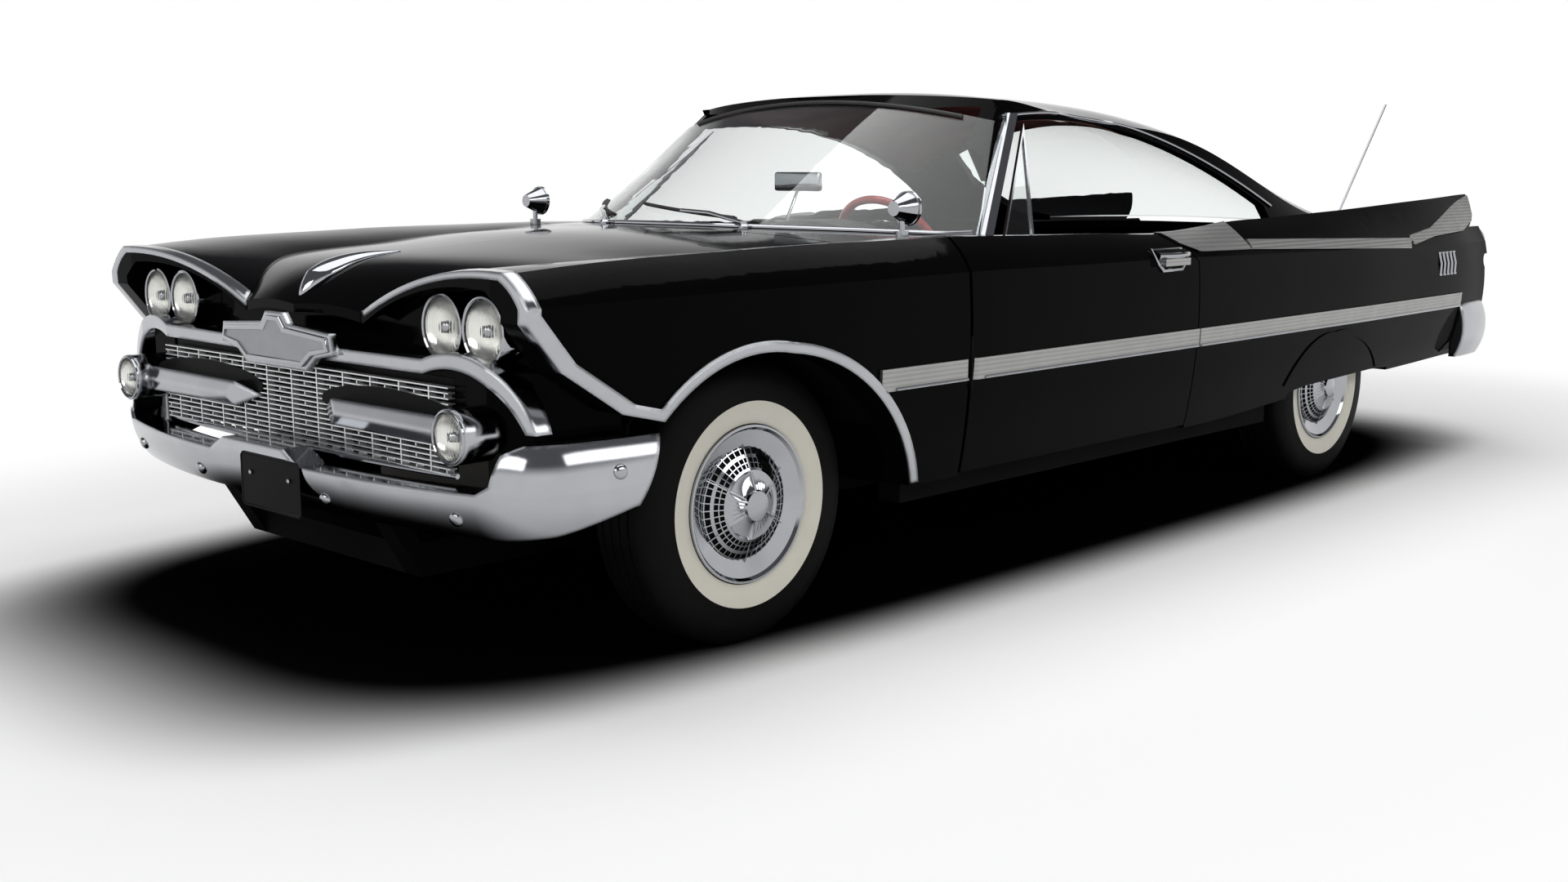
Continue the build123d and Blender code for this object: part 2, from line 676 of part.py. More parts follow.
def knuckle():
    """Left steering knuckle: an upright on the kingpin line with the wheel's spindle and the steering arm."""
    x = KINGPIN_X
    upright = block((x - 22, x + 22), (-30, 30), (268, 452))
    spindle = rod_across((x, FRONT_TRACK / 2 + SPINDLE_REACH), 0, HUB_Z, SPINDLE_RADIUS)
    arm = block((x - 110, x - 20), (60, 84), (300, 322)) + block((x - 30, x + 10), (20, 84), (300, 322))
    return (upright + spindle + arm) - rod_up(x, 0, (200, 500), KINGPIN_RADIUS + SPINDLE_CLEARANCE)


def front_suspension():
    """Crossmember, upper and lower arms and the kingpins that the knuckles turn on."""
    pin = rod_up(KINGPIN_X, 0, (222, 498), KINGPIN_RADIUS)
    side = pin + side_arm(232, 258) + side_arm(462, 486)
    tower = block((396, 460), (-70, 70), (205, 498))
    return both(side + tower) + [block((-330, 330), (-70, 70), (205, 285))]


def side_arm(low, high):
    """A level arm, wide at the frame and narrow at the kingpin."""
    tip = KINGPIN_X + 20
    return plan_prism([(-110, 440), (110, 440), (26, tip), (-26, tip)], low, high)


def rear_axle():
    """Live rear axle with its differential and leaf springs."""
    end = REAR_TRACK / 2
    tube = rod_across((-end + 70, end - 70), WHEELBASE, HUB_Z, 42)
    spindles = rod_across((-end - SPINDLE_REACH, end + SPINDLE_REACH), WHEELBASE, HUB_Z, SPINDLE_RADIUS)
    axle = tube + spindles + rod_along(0, (WHEELBASE - 83.7, WHEELBASE + 100), HUB_Z, 128)
    for x in (-540, 540):
        axle += block((x - 32, x + 32), (2646, 3700), (296, 330))
    for x_range in ((-572, -396), (396, 572)):
        axle += block(x_range, (2646, 2696), (296, 336)) + block(x_range, (3650, 3700), (296, 400))
    return axle


def frame_rails():
    """Ladder frame: two rails that rise over the rear axle, horns to the front bumper and crossmembers."""
    rail = [(-640, 205), (2640, 205), (2860, 420), (3400, 420), (3640, 340), (4230, 340)]
    top = [(station, z + 84) for station, z in reversed(rail)]
    horn = [(-640, 205), (-640, 289), (-700, 430), (-763.4, 436), (-763.4, 386), (-720, 340)]
    frame = side_prism(rail + top, 330, 396) + side_prism(horn, 330, 396)
    for station, z in ((-600, 205), (4180, 340)):
        frame += block((0, 340), (station - 40, station + 40), (z, z + 70))
    return joined(frame)


def floor_pan():
    """Floor with firewall, tunnel, heel board, boot floor and the sills under the doors."""
    skin = 20
    end = TAIL_PANEL[0]
    outline = [(452, 920), (452, 640), (700, 289), (2600, 289), (2600, 557), (end, 557)]
    back = [(end, 557 + skin), (2580, 557 + skin), (2580, 289 + skin)]
    back += [(712, 289 + skin), (472, 648), (472, 920)]
    pan = side_prism(outline + back, 0, 830)
    tunnel = rod_along(0, (460, 1380), 230, 190)
    pan = (pan + (tunnel - block((-400, 400), (400, 1600), (0, 289)))) - rod_along(0, (400, 1360), 230, 172)
    pan -= block((-400, 0), (400, 1600), (0, 900))
    pan -= rod_across((600, 900), WHEELBASE, REAR_HOUSE_Z, REAR_HOUSE_RADIUS)
    sill = block((829, 905), (530, 2540), (286, 336))
    feet = block((829, 905), (550, 684), (330, 380)) + block((829, 905), (1880, 2540), (330, 380))
    return joined(pan + sill + (feet - SHELL))


def wheelhouses():
    """Inner wheel arches, two front and two rear."""
    near = 470
    front = arch_prism(ARCH_POINTS, 2 * HOUSE_SKIN, near, HOUSE_OUTER_X)
    front -= arch_prism(ARCH_POINTS, HOUSE_SKIN, near + HOUSE_SKIN, HOUSE_OUTER_X + 1)
    front -= block((near - 1, HOUSE_OUTER_X + 2), (-600, 800), (-200, HOUSE_LOW_Z))
    rear = rod_across((600, HOUSE_OUTER_X), WHEELBASE, REAR_HOUSE_Z, REAR_HOUSE_RADIUS)
    hollow = (600 + HOUSE_SKIN, HOUSE_OUTER_X + 1)
    rear -= rod_across(hollow, WHEELBASE, REAR_HOUSE_Z, REAR_HOUSE_RADIUS - HOUSE_SKIN)
    rear -= block((599, HOUSE_OUTER_X + 2), (WHEELBASE - 500, WHEELBASE + 500), (-200, HOUSE_LOW_Z))
    return both(front - SHELL) + both(rear - SHELL)


def swept_bar(path, section, outward):
    """The left half of a bumper bar: a section carried along a level line of tangent arcs.

    path is (x, station) points from the middle outwards, section is (inset, z) points of the rounded face
    from bottom to top and then the flat back, and outward is -1 at the nose and 1 at the tail.
    """
    places = [(x, y_of(station), 0) for x, station in path]
    edges = [Line(places[0], places[1])]
    for place in places[2:]:
        edges.append(TangentArc(edges[-1] @ 1, place, tangent=edges[-1] % 1))
    low, middle, high, back_high, back_low = [(0, places[0][1] - outward * inset, z) for inset, z in section]
    outline = [ThreePointArc(low, middle, high), Line(high, back_high)]
    outline += [Line(back_high, back_low), Line(back_low, low)]
    return sweep(make_face(Wire(outline)), path=Wire(edges))


def front_bumper():
    """Front bumper: a low rounded bar with a hump at the middle and tall ends wrapped to the wheel arches."""
    path = [(0, -848), (200, -848), (800, -770), (966, -600), (992, -362)]
    bar = swept_bar(path, [(40, 372), (0, 452), (34, 600), (76, 600), (76, 372)], -1)
    crest = [(-1, 512), (140, 512), (205, 477), (805, 480), (838, 500), (850, 566), (880, 586), (1100, 592)]
    bar -= front_prism(crest + [(1100, 700), (-1, 700)], -1000, -300)
    foot = [(-1000, 300), (-300, 300), (-300, 446), (-470, 436), (-640, 384), (-720, 373), (-1000, 373)]
    end = [(-366, 620), (-468, 420), (-300, 420), (-300, 620)]
    bar = bar - side_prism(foot, -1, OUTSIDE_X) - side_prism(end, -1, OUTSIDE_X)
    pad = block((PLATE_X - 102, PLATE_X + 102), (-FRONT_OVERHANG, -800), (PLATE_Z - 15, PLATE_Z + 15))
    bumper = joined(bar) + pad
    for x in (PLATE_X - PLATE_SPACING / 2, PLATE_X + PLATE_SPACING / 2):
        bumper -= rod_along(x, (-950, -700), PLATE_Z, PLATE_HOLE_RADIUS)
    return bumper


def rear_bumper():
    """Rear bumper, wrapped round to the quarters."""
    path = [(0, TAIL_STATION), (300, TAIL_STATION), (850, 4432), (1000, 4260), (1014, 4012)]
    bar = swept_bar(path, [(34, 402), (0, 520), (26, 624), (60, 624), (60, 402)], 1)
    return joined(bar - BODY)


def grille():
    """Fine grille of level bars and uprights, set in front of its wall."""
    bars, uprights = 11, 22
    low, high = GRILLE_Z
    net = None
    for i in range(bars):
        z = low + (high - low) * i / (bars - 1)
        bar = block((-GRILLE_HALF, GRILLE_HALF), (GRILLE_FACE, GRILLE_WALL), (z - GRILLE_BAR, z + GRILLE_BAR))
        net = bar if net is None else net + bar
    for i in range(uprights):
        x = -GRILLE_HALF + 2 * GRILLE_HALF * i / (uprights - 1)
        net += block((x - GRILLE_BAR, x + GRILLE_BAR), (GRILLE_FACE + 3, GRILLE_WALL), (low, high))
    return net


def grille_surround():
    """Bright bar arched over the grille with its bow-shaped plate, wings and the parking lamps' pods."""
    front = -800
    outer = [(600, 756), (846, 722), (925, 612)]
    inner = [(897, 612), (822, 696), (600, 724)]
    far = [(x, y_of(front), z) for x, z in outer]
    near = [(x, y_of(front), z) for x, z in inner]
    top, bottom = (0, y_of(front), 752), (0, y_of(front), 722)
    edges = [Line(top, far[0]), ThreePointArc(*far), Line(far[2], near[0]), ThreePointArc(*near)]
    face = make_face(Wire(edges + [Line(near[2], bottom), Line(bottom, top)]))
    depth = [(-760, 0), (-757, 600), (-730, 800), (-694, 930), (-652, 930), (-652, 856), (GRILLE_WALL, 770)]
    bar = extrude(face, 200, dir=(0, 1, 0)) & plan_prism(depth + [(GRILLE_WALL, 0)], 600, 800)
    bow = [(0, 692), (140, 692), (182, 724), (262, 738), (250, 788), (60, 800), (38, 826), (0, 826)]
    plate = front_prism(bow, -774, -755)
    pod = rod_along(POD_X, (POD_FACE, GRILLE_WALL), POD_Z, POD_RADIUS)
    pod -= rod_along(POD_X, (POD_FACE - 1, POD_FACE + 30), POD_Z, POD_RADIUS - POD_RIM)
    back = GRILLE_FACE - CONTACT
    edge, chamfer, half = -778, -762, 36
    wing = plan_prism([(back, 150), (edge, 262), (edge, POD_X), (back, POD_X)], POD_Z - half, POD_Z + half)
    wedge = [(150, 0), (236, 32), (POD_X, 34), (POD_X, -30), (236, -30)]
    wing &= front_prism([(x, POD_Z + rise) for x, rise in wedge], -800, -700)
    facets = [(edge, 0), (chamfer, half), (-700, half), (-700, -half), (chamfer, -half)]
    wing &= side_prism([(station, POD_Z + rise) for station, rise in facets], 100, 800)
    wing -= rod_along(POD_X, (-810, -600), POD_Z, POD_RADIUS)
    return joined(bar + plate).solids() + both(pod + wing)


def headlamps():
    """Headlamp bezels and lenses, and the parking lamp lenses, on both sides."""
    bezels, lenses = [], []
    seat = NOSE_FACE - 20
    for x in LAMP_XS:
        ring = rod_along(x, (LAMP_FACE, NOSE_FACE), LAMP_Z, LAMP_RADIUS)
        bezels += both(ring - rod_along(x, (LAMP_FACE - 1, seat), LAMP_Z, LAMP_RADIUS - LAMP_RIM))
        lenses += both(rod_along(x, (LAMP_FACE + 8, seat), LAMP_Z, LAMP_RADIUS - LAMP_RIM - CONTACT))
    lens = rod_along(POD_X, (POD_FACE + 14, POD_FACE + 30), POD_Z, POD_RADIUS - POD_RIM - CONTACT)
    return bezels, lenses + both(lens)


def tail_lamps():
    """Tail lamp tubes and their lenses, two each side."""
    tubes, lenses = [], []
    base = (Align.CENTER, Align.CENTER, Align.MIN)
    for x, z, radius, end in TAIL_LAMPS:
        tubes += both(rod_along(x, (TAIL_TUBE_START, end), z, radius))
        lens = Cone(radius - 6, radius - 30, 30, align=base)
        lenses += both(Pos(x, y_of(end), z) * Rot(-90, 0, 0) * lens)
    return tubes, lenses


def moulding_strip(front, rear, taper_front, taper_rear):
    """Side moulding on the left between two stations, standing proud of the body, its ends tapered off."""
    strip = skin_patch(block((940, OUTSIDE_X), (front, rear), (MOULDING_LOW_Z, MOULDING_HIGH_Z)))
    start_x = 1004.0
    if taper_front:
        slope = (front + MOULDING_END, start_x + MOULDING_END)
        strip -= plan_prism([(front, start_x), slope, (front, OUTSIDE_X)], 500, 800)
    if taper_rear:
        slope = (rear - MOULDING_END, start_x + MOULDING_END)
        strip -= plan_prism([(rear, start_x), slope, (rear, OUTSIDE_X)], 500, 800)
    return strip


def body_mouldings():
    """Side mouldings of the fender and the quarter, and the fin's spear, strip and end, on both sides."""
    front = moulding_strip(330, DOOR_FRONT - 10, False, True)
    front -= arch_prism(ARCH_POINTS, ARCH_LIP + CONTACT, 500, OUTSIDE_X)
    pieces = both(front) + both(moulding_strip(DOOR_REAR + PANEL_GAP / 2, 4000, False, False))
    for outline, near in ((FIN_SPEAR, 905), (FIN_STRIP, 905), (FIN_END, 880)):
        pieces += both(skin_patch(side_prism(outline, near, OUTSIDE_X)))
    return pieces


def door_trim():
    """Moulding and pull handle of the left door."""
    strip = moulding_strip(DOOR_FRONT + 10, DOOR_REAR - PANEL_GAP / 2, True, False)
    handle = block((1000, 1036), (1626, 1770), (876, 898)) - block((1000, 1022), (1650, 1746), (870, 900))
    return strip.solids() + (handle - BODY).solids()


def dashboard():
    """Dashboard with its padded top."""
    outline = [(472, 840), (472, 900), (660, 940), (820, 952), (900, 930), (890, 850), (800, 740), (640, 740)]
    bore = Cylinder(COLUMN_RADIUS + CONTACT, COLUMN_LENGTH + 2)
    return side_prism(outline, -730, 730) - steering_place() * Pos(0, 0, COLUMN_MIDDLE) * bore


def bench(front, rear, half, cushion, back_top):
    """A bench seat on the floor: cushion and leaning backrest."""
    low = 309
    outline = [(front, low), (front - 10, cushion - 30), (front + 40, cushion), (rear - 190, cushion - 20)]
    outline += [(rear - 90, back_top), (rear - 20, back_top), (rear, back_top - 60), (rear - 60, low)]
    return side_prism(outline, -half, half)


def steering_place():
    """Hub of the steering wheel, with its own Z up along the column."""
    return Pos(STEER_HUB[0], y_of(STEER_HUB[1]), STEER_HUB[2]) * Rot(STEER_LEAN - 90, 0, 0)


def steering():
    """Steering column, and the wheel on its own axis."""
    place = steering_place()
    column = place * Pos(0, 0, COLUMN_MIDDLE) * Cylinder(COLUMN_RADIUS, COLUMN_LENGTH)
    section = [(188, -11), (208, -11), (213, 0), (208, 11), (188, 11), (183, 0)]
    rim = revolve(make_face(Polyline(*[(radius, 0, z) for radius, z in section], close=True)), Axis.Z)
    hub = Pos(0, 0, -12) * Cylinder(38, 40)
    spokes = Pos(0, 0, -4) * Box(380, 26, 10)
    return column, place * (rim + hub + spokes)


def engine_and_driveline():
    """Engine as one plain block, gearbox and propeller shaft."""
    engine = block((-250, 250), (-330, 400), (310, 800))
    box = rod_along(0, (400, 1040), 270, 120)
    shaft = rod_along(0, (1040, 3016), 234, 38)
    return engine + box + shaft + block((-380, 380), (90, 150), (289, 340))


def exhaust():
    """Twin pipes and silencers under the floor."""
    pipes = []
    for x in (-270, 270):
        pipe = rod_along(x, (420, 1700), 246, 26) + rod_along(x, (1700, 2300), 237, 52)
        pipes.append(pipe + rod_along(x, (2300, 2450), 246, 26))
    return pipes


def wipers():
    """Two wiper arms with blades, parked on the windscreen."""
    arm = pillar_bar((300, 536, 1013), (560, 652, 1040), (14, 10))
    post = rod_up(307, 541, (960, 1018), 7)
    return both(arm + (post - BODY))


def fender_mirrors():
    """Round mirrors on the front fenders, bullet-shaped and open to the rear."""
    x, station, z = 800, 655, 1064
    foot = rod_up(x, station, (960, 1004), 18)
    stalk = rod_up(x, station, (1000, z), 8)
    head = Pos(x, y_of(station - 8), z) * Rot(90, 0, 0) * Cone(46, 20, 60)
    return both((foot + stalk + head) - BODY)


def antennas():
    """Twin aerials on the rear fins, leaning back."""
    rod = Pos(858, y_of(3100), 960) * Rot(-41, 0, 0) * Pos(0, 0, 300) * Cylinder(4, 600)
    return both(rod - BODY)


def hood_ornament():
    """Bright swept wing at the front of the hood."""
    left = [(-716, 8), (-690, 34), (-640, 46), (-420, 20), (-400, 0)]
    wing = left + [(station, -x) for station, x in reversed(left[:-1])]
    side = side_prism([(-716, 905), (-690, 934), (-560, 966), (-400, 974), (-400, 850), (-716, 800)], -60, 60)
    return (plan_prism(wing, 790, 990) & side) - joined(BODY)


def fuel_tank():
    """Flat tank under the boot floor."""
    return block((-300, 300), (3700, 4110), (390, 557))


def main():
    """Builds each piece and writes it to its own file."""
    os.makedirs("parts", exist_ok=True)
    bezels, lamp_lenses = headlamps()
    tubes, tail_lenses = tail_lamps()
    vent_frame, vent_pane = vent_window()
    column, steering_wheel = steering()
    door = door_panel()
    trim = Compound(children=door_trim())
    brows = [solid for piece in brow_moulding() for solid in both(piece)]
    nodes = {
        "front_fenders": both(front_fender()),
        "brow_mouldings": brows,
        "hood": hood(),
        "hood_ornament": hood_ornament(),
        "cowl_panel": cowl_panel(),
        "quarter_panels": deck_and_quarters(),
        "skirt_lips": skirt_lips(),
        "boot_lid": boot_lid(),
        "tail_panel": tail_panel(),
        "nose_panel": nose_panel(),
        "roof_panel": roof_panel(),
        "rear_window": rear_window(),
        "windscreen": windscreen(),
        "windscreen_frame": windscreen_frame(),
        "door_left": door,
        "door_right": mirrored(door),
        "vent_frame_left": vent_frame,
        "vent_frame_right": mirrored(vent_frame),
        "vent_pane_left": vent_pane,
        "vent_pane_right": mirrored(vent_pane),
        "door_trim_left": trim,
        "door_trim_right": mirrored(trim),
        "body_mouldings": body_mouldings(),
        "grille": grille(),
        "grille_surround": grille_surround(),
        "headlamp_bezels": bezels,
        "lamp_lenses": lamp_lenses,
        "tail_lamp_tubes": tubes,
        "tail_lamp_lenses": tail_lenses,
        "front_bumper": front_bumper(),
        "rear_bumper": rear_bumper(),
        "frame_rails": frame_rails(),
        "floor_pan": floor_pan(),
        "wheelhouses": wheelhouses(),
        "front_suspension": front_suspension(),
        "rear_axle": rear_axle(),
        "engine_and_driveline": engine_and_driveline(),
        "exhaust": exhaust(),
        "fuel_tank": fuel_tank(),
        "dashboard": dashboard(),
        "steering_column": column,
        "steering_wheel": steering_wheel,
        "front_seat": bench(1420, 2060, 690, 610, 900),
        "rear_seat": bench(2160, 2570, 660, 600, 880),
        "wipers": wipers(),
        "fender_mirrors": fender_mirrors(),
        "antennas": antennas(),
        "knuckle_left": knuckle(),
        "knuckle_right": mirrored(knuckle()),
    }
    corners = {
        "front_left": (FRONT_TRACK / 2, 0.0, 1),
        "front_right": (-FRONT_TRACK / 2, 0.0, -1),
        "rear_left": (REAR_TRACK / 2, WHEELBASE, 1),
        "rear_right": (-REAR_TRACK / 2, WHEELBASE, -1),
    }
    for name, place in corners.items():
        nodes[f"tyre_{name}"] = tyre(*place)
        nodes[f"wheel_{name}"] = wheel(*place)
    for name, shape in nodes.items():
        if isinstance(shape, list):
            shape = Compound(children=shape)
        export_step(shape, f"parts/{name}.step")


main()
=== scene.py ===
"""Finishes, fine pieces, light and camera for the two-door hardtop of the late 1950s."""

import json
import logging
import math
from dataclasses import dataclass
from enum import Enum
from typing import Callable, Dict, List, Optional, Sequence, Tuple, Union

import bmesh
import bpy
from mathutils import Matrix, Vector
from mathutils.bvhtree import BVHTree


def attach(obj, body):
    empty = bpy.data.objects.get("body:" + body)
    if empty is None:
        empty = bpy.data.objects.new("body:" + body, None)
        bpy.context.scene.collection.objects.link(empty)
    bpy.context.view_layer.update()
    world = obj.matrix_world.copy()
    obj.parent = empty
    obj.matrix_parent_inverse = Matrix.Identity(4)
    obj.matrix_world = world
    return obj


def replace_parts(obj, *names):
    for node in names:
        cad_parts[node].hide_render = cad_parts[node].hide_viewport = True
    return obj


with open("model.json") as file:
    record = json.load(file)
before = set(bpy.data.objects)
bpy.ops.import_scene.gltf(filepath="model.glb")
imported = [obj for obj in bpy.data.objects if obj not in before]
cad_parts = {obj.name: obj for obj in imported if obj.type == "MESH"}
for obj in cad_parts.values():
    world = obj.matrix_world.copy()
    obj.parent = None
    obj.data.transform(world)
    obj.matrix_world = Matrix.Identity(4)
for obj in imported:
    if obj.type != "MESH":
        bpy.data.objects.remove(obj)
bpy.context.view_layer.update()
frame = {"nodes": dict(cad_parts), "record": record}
LOG = logging.getLogger("hardtop")

Colour = Tuple[float, float, float]
Point = Tuple[float, float, float]
Flat = Tuple[float, float]
Line = Tuple[Flat, ...]
Mesh = bmesh.types.BMesh
Socket = bpy.types.NodeSocket
Feed = Union[Socket, float, Sequence[float]]

FRONT_AXLE_Y = -1.829
WHEELBASE = 3.100
HUB_Z = 0.355
FAR_X = 1.3
FORWARD = Matrix.Rotation(math.pi / 2, 4, "X")
BACKWARD = Matrix.Rotation(-math.pi / 2, 4, "X")
SIDEWAYS = Matrix(((0, 0, 1, 0), (1, 0, 0, 0), (0, 1, 0, 0), (0, 0, 0, 1)))


class Side(Enum):
    """Which side of the car a piece is on; the value is the sign of X."""

    LEFT = 1
    RIGHT = -1

    @property
    def label(self) -> str:
        """The side's name in lower case."""
        return self.name.lower()

    def out(self, distance: float) -> Vector:
        """Returns a move outwards on this side."""
        return Vector((self.value * distance, 0, 0))


class Direction(Enum):
    """The axis along which a pattern of ribs repeats."""

    ACROSS = "X"
    ALONG = "Y"
    UP = "Z"


def y_of(station: float) -> float:
    """Returns the Y place of a station, counted backwards from the front axle in metres."""
    return FRONT_AXLE_Y + station


def spot(x: float, station: float, z: float) -> Vector:
    """Returns the point at an x, a station and a height."""
    return Vector((x, y_of(station), z))


def facing(direction: Vector, axis: str = "Z") -> Matrix:
    """Returns the turn that points a local axis along a direction."""
    return direction.to_track_quat(axis, "Y").to_matrix().to_4x4()


def add_object(name: str, data: bpy.types.ID) -> bpy.types.Object:
    """Makes an object of a mesh, lamp or camera and links it to the scene."""
    made = bpy.data.objects.new(name, data)
    bpy.context.scene.collection.objects.link(made)
    return made


class Graph:
    """A small helper that adds nodes and links to one node tree."""

    def __init__(self, tree: bpy.types.NodeTree) -> None:
        """Keeps the tree that nodes are added to."""
        self.tree = tree

    def add(self, kind: str, *feeds: Feed, **values) -> bpy.types.Node:
        """Adds a node.

        Args:
            kind: The node's type name.
            *feeds: What goes into its first inputs, in order.
            **values: Settings of the node, or what goes into its inputs by name, with _ for spaces.

        Returns:
            The new node.
        """
        node = self.tree.nodes.new(kind)
        for name, value in values.items():
            if hasattr(node, name):
                setattr(node, name, value)
            else:
                self.feed(node.inputs[name.replace("_", " ")], value)
        for target, value in zip(node.inputs, feeds):
            self.feed(target, value)
        return node

    def feed(self, target: Socket, value: Feed) -> None:
        """Links an output to an input, or sets the input's value."""
        if isinstance(value, Socket):
            self.tree.links.new(value, target)
        else:
            target.default_value = value


def new_group(name: str, inputs: Dict[str, float], outputs: Sequence[str]) -> bpy.types.NodeTree:
    """Starts a shader node group of plain numbers.

    Args:
        name: Name of the group.
        inputs: Input names with their defaults.
        outputs: Output names.

    Returns:
        The empty group with its sockets.
    """
    group = bpy.data.node_groups.new(name, "ShaderNodeTree")
    for label, default in inputs.items():
        socket = group.interface.new_socket(name=label, in_out="INPUT", socket_type="NodeSocketFloat")
        socket.default_value = default
    for label in outputs:
        group.interface.new_socket(name=label, in_out="OUTPUT", socket_type="NodeSocketFloat")
    return group


def unevenness_group() -> bpy.types.NodeTree:
    """Builds the group of fine unevenness: a slow mottle and a fine grain on Object coordinates."""
    group = new_group("surface_unevenness", {"Scale": 40.0, "Detail Scale": 900.0}, ("Mask", "Height"))
    graph = Graph(group)
    inputs = graph.add("NodeGroupInput")
    outputs = graph.add("NodeGroupOutput")
    place = graph.add("ShaderNodeTexCoord")
    for scale, out, detail, roughness in (("Scale", "Mask", 3.0, 0.55), ("Detail Scale", "Height", 2.0, 0.5)):
        noise = graph.add("ShaderNodeTexNoise", Vector=place.outputs["Object"], Scale=inputs.outputs[scale],
                          Detail=detail, Roughness=roughness)
        graph.feed(outputs.inputs[out], noise.outputs["Fac"])
    return group


def rib_group(direction: Direction) -> bpy.types.NodeTree:
    """Builds the group of even ribs along one axis.

    Args:
        direction: The axis along which the ribs repeat.

    Returns:
        A group with a Scale input and a Height output.
    """
    group = new_group(f"ribs_{direction.name.lower()}", {"Scale": 40.0}, ("Height",))
    graph = Graph(group)
    inputs = graph.add("NodeGroupInput")
    outputs = graph.add("NodeGroupOutput")
    place = graph.add("ShaderNodeTexCoord")
    wave = graph.add("ShaderNodeTexWave", wave_type="BANDS", bands_direction=direction.value,
                     Vector=place.outputs["Object"], Scale=inputs.outputs["Scale"])
    graph.feed(outputs.inputs["Height"], wave.outputs["Fac"])
    return group


UNEVENNESS = unevenness_group()
RIBS = {direction: rib_group(direction) for direction in Direction}
WAVE_PERIOD = math.pi / 10


@dataclass(frozen=True)
class Ribs:
    """Even ribs or pleats in a surface: axis, spacing and depth in metres, and how much painted shade darkens
    the grooves.
    """

    direction: Direction
    spacing: float
    depth: float
    shade: float = 0.5


@dataclass(frozen=True)
class Finish:
    """A finish for one kind of surface, made into a material once.

    Attributes:
        name: Plain name of the finish.
        colour: Linear base colour.
        worn: Colour that the mottle fades towards.
        metallic: Metal share.
        roughness: Lowest and highest roughness across the mottle.
        bump: Height of the fine grain, in metres.
        scales: Scales of mottle and grain.
        coat: Clear coat weight.
        transmission: How much light goes through.
        ior: Index of refraction.
        specular: Strength of the plain reflection.
        ribs: Ribs, flutes or pleats, if the surface has them, with painted shade in their grooves.
        rounding: Radius to which edges look rounded, in metres.
    """

    name: str
    colour: Colour
    worn: Colour
    metallic: float = 0.0
    roughness: Tuple[float, float] = (0.3, 0.45)
    bump: float = 0.0
    scales: Tuple[float, float] = (6.0, 600.0)
    coat: float = 0.0
    transmission: float = 0.0
    ior: float = 1.5
    specular: float = 0.5
    ribs: Optional[Ribs] = None
    rounding: float = 0.0

    def material(self) -> bpy.types.Material:
        """Returns the finish's material, building it the first time."""
        found = bpy.data.materials.get(self.name)
        return found if found else self._build()

    def _build(self) -> bpy.types.Material:
        """Returns a new material with mottled colour and roughness, grain and ribs as bump, and painted shade
        in the rib grooves.
        """
        material = bpy.data.materials.new(self.name)
        material.use_nodes = True
        graph = Graph(material.node_tree)
        mottle, grain = self.scales
        low, high = self.roughness
        uneven = graph.add("ShaderNodeGroup", node_tree=UNEVENNESS, Scale=mottle, Detail_Scale=grain)
        mask = uneven.outputs["Mask"]
        colour = graph.add("ShaderNodeMix", data_type="RGBA", A=(*self.colour, 1.0), B=(*self.worn, 1.0),
                           Factor=mask)
        rough = graph.add("ShaderNodeMapRange", Value=mask, To_Min=low, To_Max=high)
        painted = colour.outputs["Result"]
        normal = None
        if self.rounding > 0.0:
            normal = graph.add("ShaderNodeBevel", samples=6, Radius=self.rounding).outputs["Normal"]
        if self.ribs:
            painted, normal = self._ribbed(graph, painted)
        if self.bump > 0.0:
            bump = graph.add("ShaderNodeBump", Distance=self.bump, Height=uneven.outputs["Height"])
            if normal:
                graph.feed(bump.inputs["Normal"], normal)
            normal = bump.outputs["Normal"]
        values = {
            "Base Color": painted,
            "Roughness": rough.outputs["Result"],
            "Metallic": self.metallic,
            "Coat Weight": self.coat,
            "Coat Roughness": 0.02,
            "Transmission Weight": self.transmission,
            "IOR": self.ior,
            "Specular IOR Level": self.specular,
        }
        if normal:
            values["Normal"] = normal
        for name, value in values.items():
            graph.feed(material.node_tree.nodes["Principled BSDF"].inputs[name], value)
        return material

    def _ribbed(self, graph: Graph, painted: Socket) -> Tuple[Socket, Socket]:
        """Adds the ribs to a colour, with painted shade in their grooves.

        Args:
            graph: The material's graph.
            painted: The colour so far.

        Returns:
            The colour with painted shade darkening the grooves, and the ribs' normal.
        """
        ribs = graph.add("ShaderNodeGroup", node_tree=RIBS[self.ribs.direction],
                         Scale=WAVE_PERIOD / self.ribs.spacing).outputs["Height"]
        # Painted shade: the colour is made darker in the grooves between the ribs.
        shade = graph.add("ShaderNodeMapRange", Value=ribs, To_Min=1.0 - self.ribs.shade)
        darker = graph.add("ShaderNodeMix", data_type="RGBA", blend_type="MULTIPLY", Factor=1.0, A=painted,
                           B=shade.outputs["Result"])
        bump = graph.add("ShaderNodeBump", Distance=self.ribs.depth, Height=ribs)
        return darker.outputs["Result"], bump.outputs["Normal"]


BLACK_PAINT = Finish("black_paint", (0.0016, 0.0016, 0.0018), (0.0026, 0.0026, 0.0029),
                     roughness=(0.05, 0.09), specular=0.018, scales=(3.0, 300.0))
CHROME = Finish("bright_chrome", (0.41, 0.42, 0.44), (0.33, 0.34, 0.36), metallic=1.0,
                roughness=(0.05, 0.11), scales=(9.0, 500.0))
ROUNDED_CHROME = Finish("rounded_chrome", (0.46, 0.47, 0.49), (0.37, 0.38, 0.40), metallic=1.0,
                        roughness=(0.06, 0.12), scales=(9.0, 500.0), rounding=0.016)
# The last number of each Ribs in these finishes is how much painted shade darkens the grooves.
SATIN_TRIM = Finish("ribbed_satin_trim", (0.40, 0.40, 0.39), (0.33, 0.33, 0.32), metallic=0.85,
                    roughness=(0.30, 0.42), scales=(14.0, 900.0), bump=0.0002,
                    ribs=Ribs(Direction.UP, 0.0120, 0.0006, 0.20))
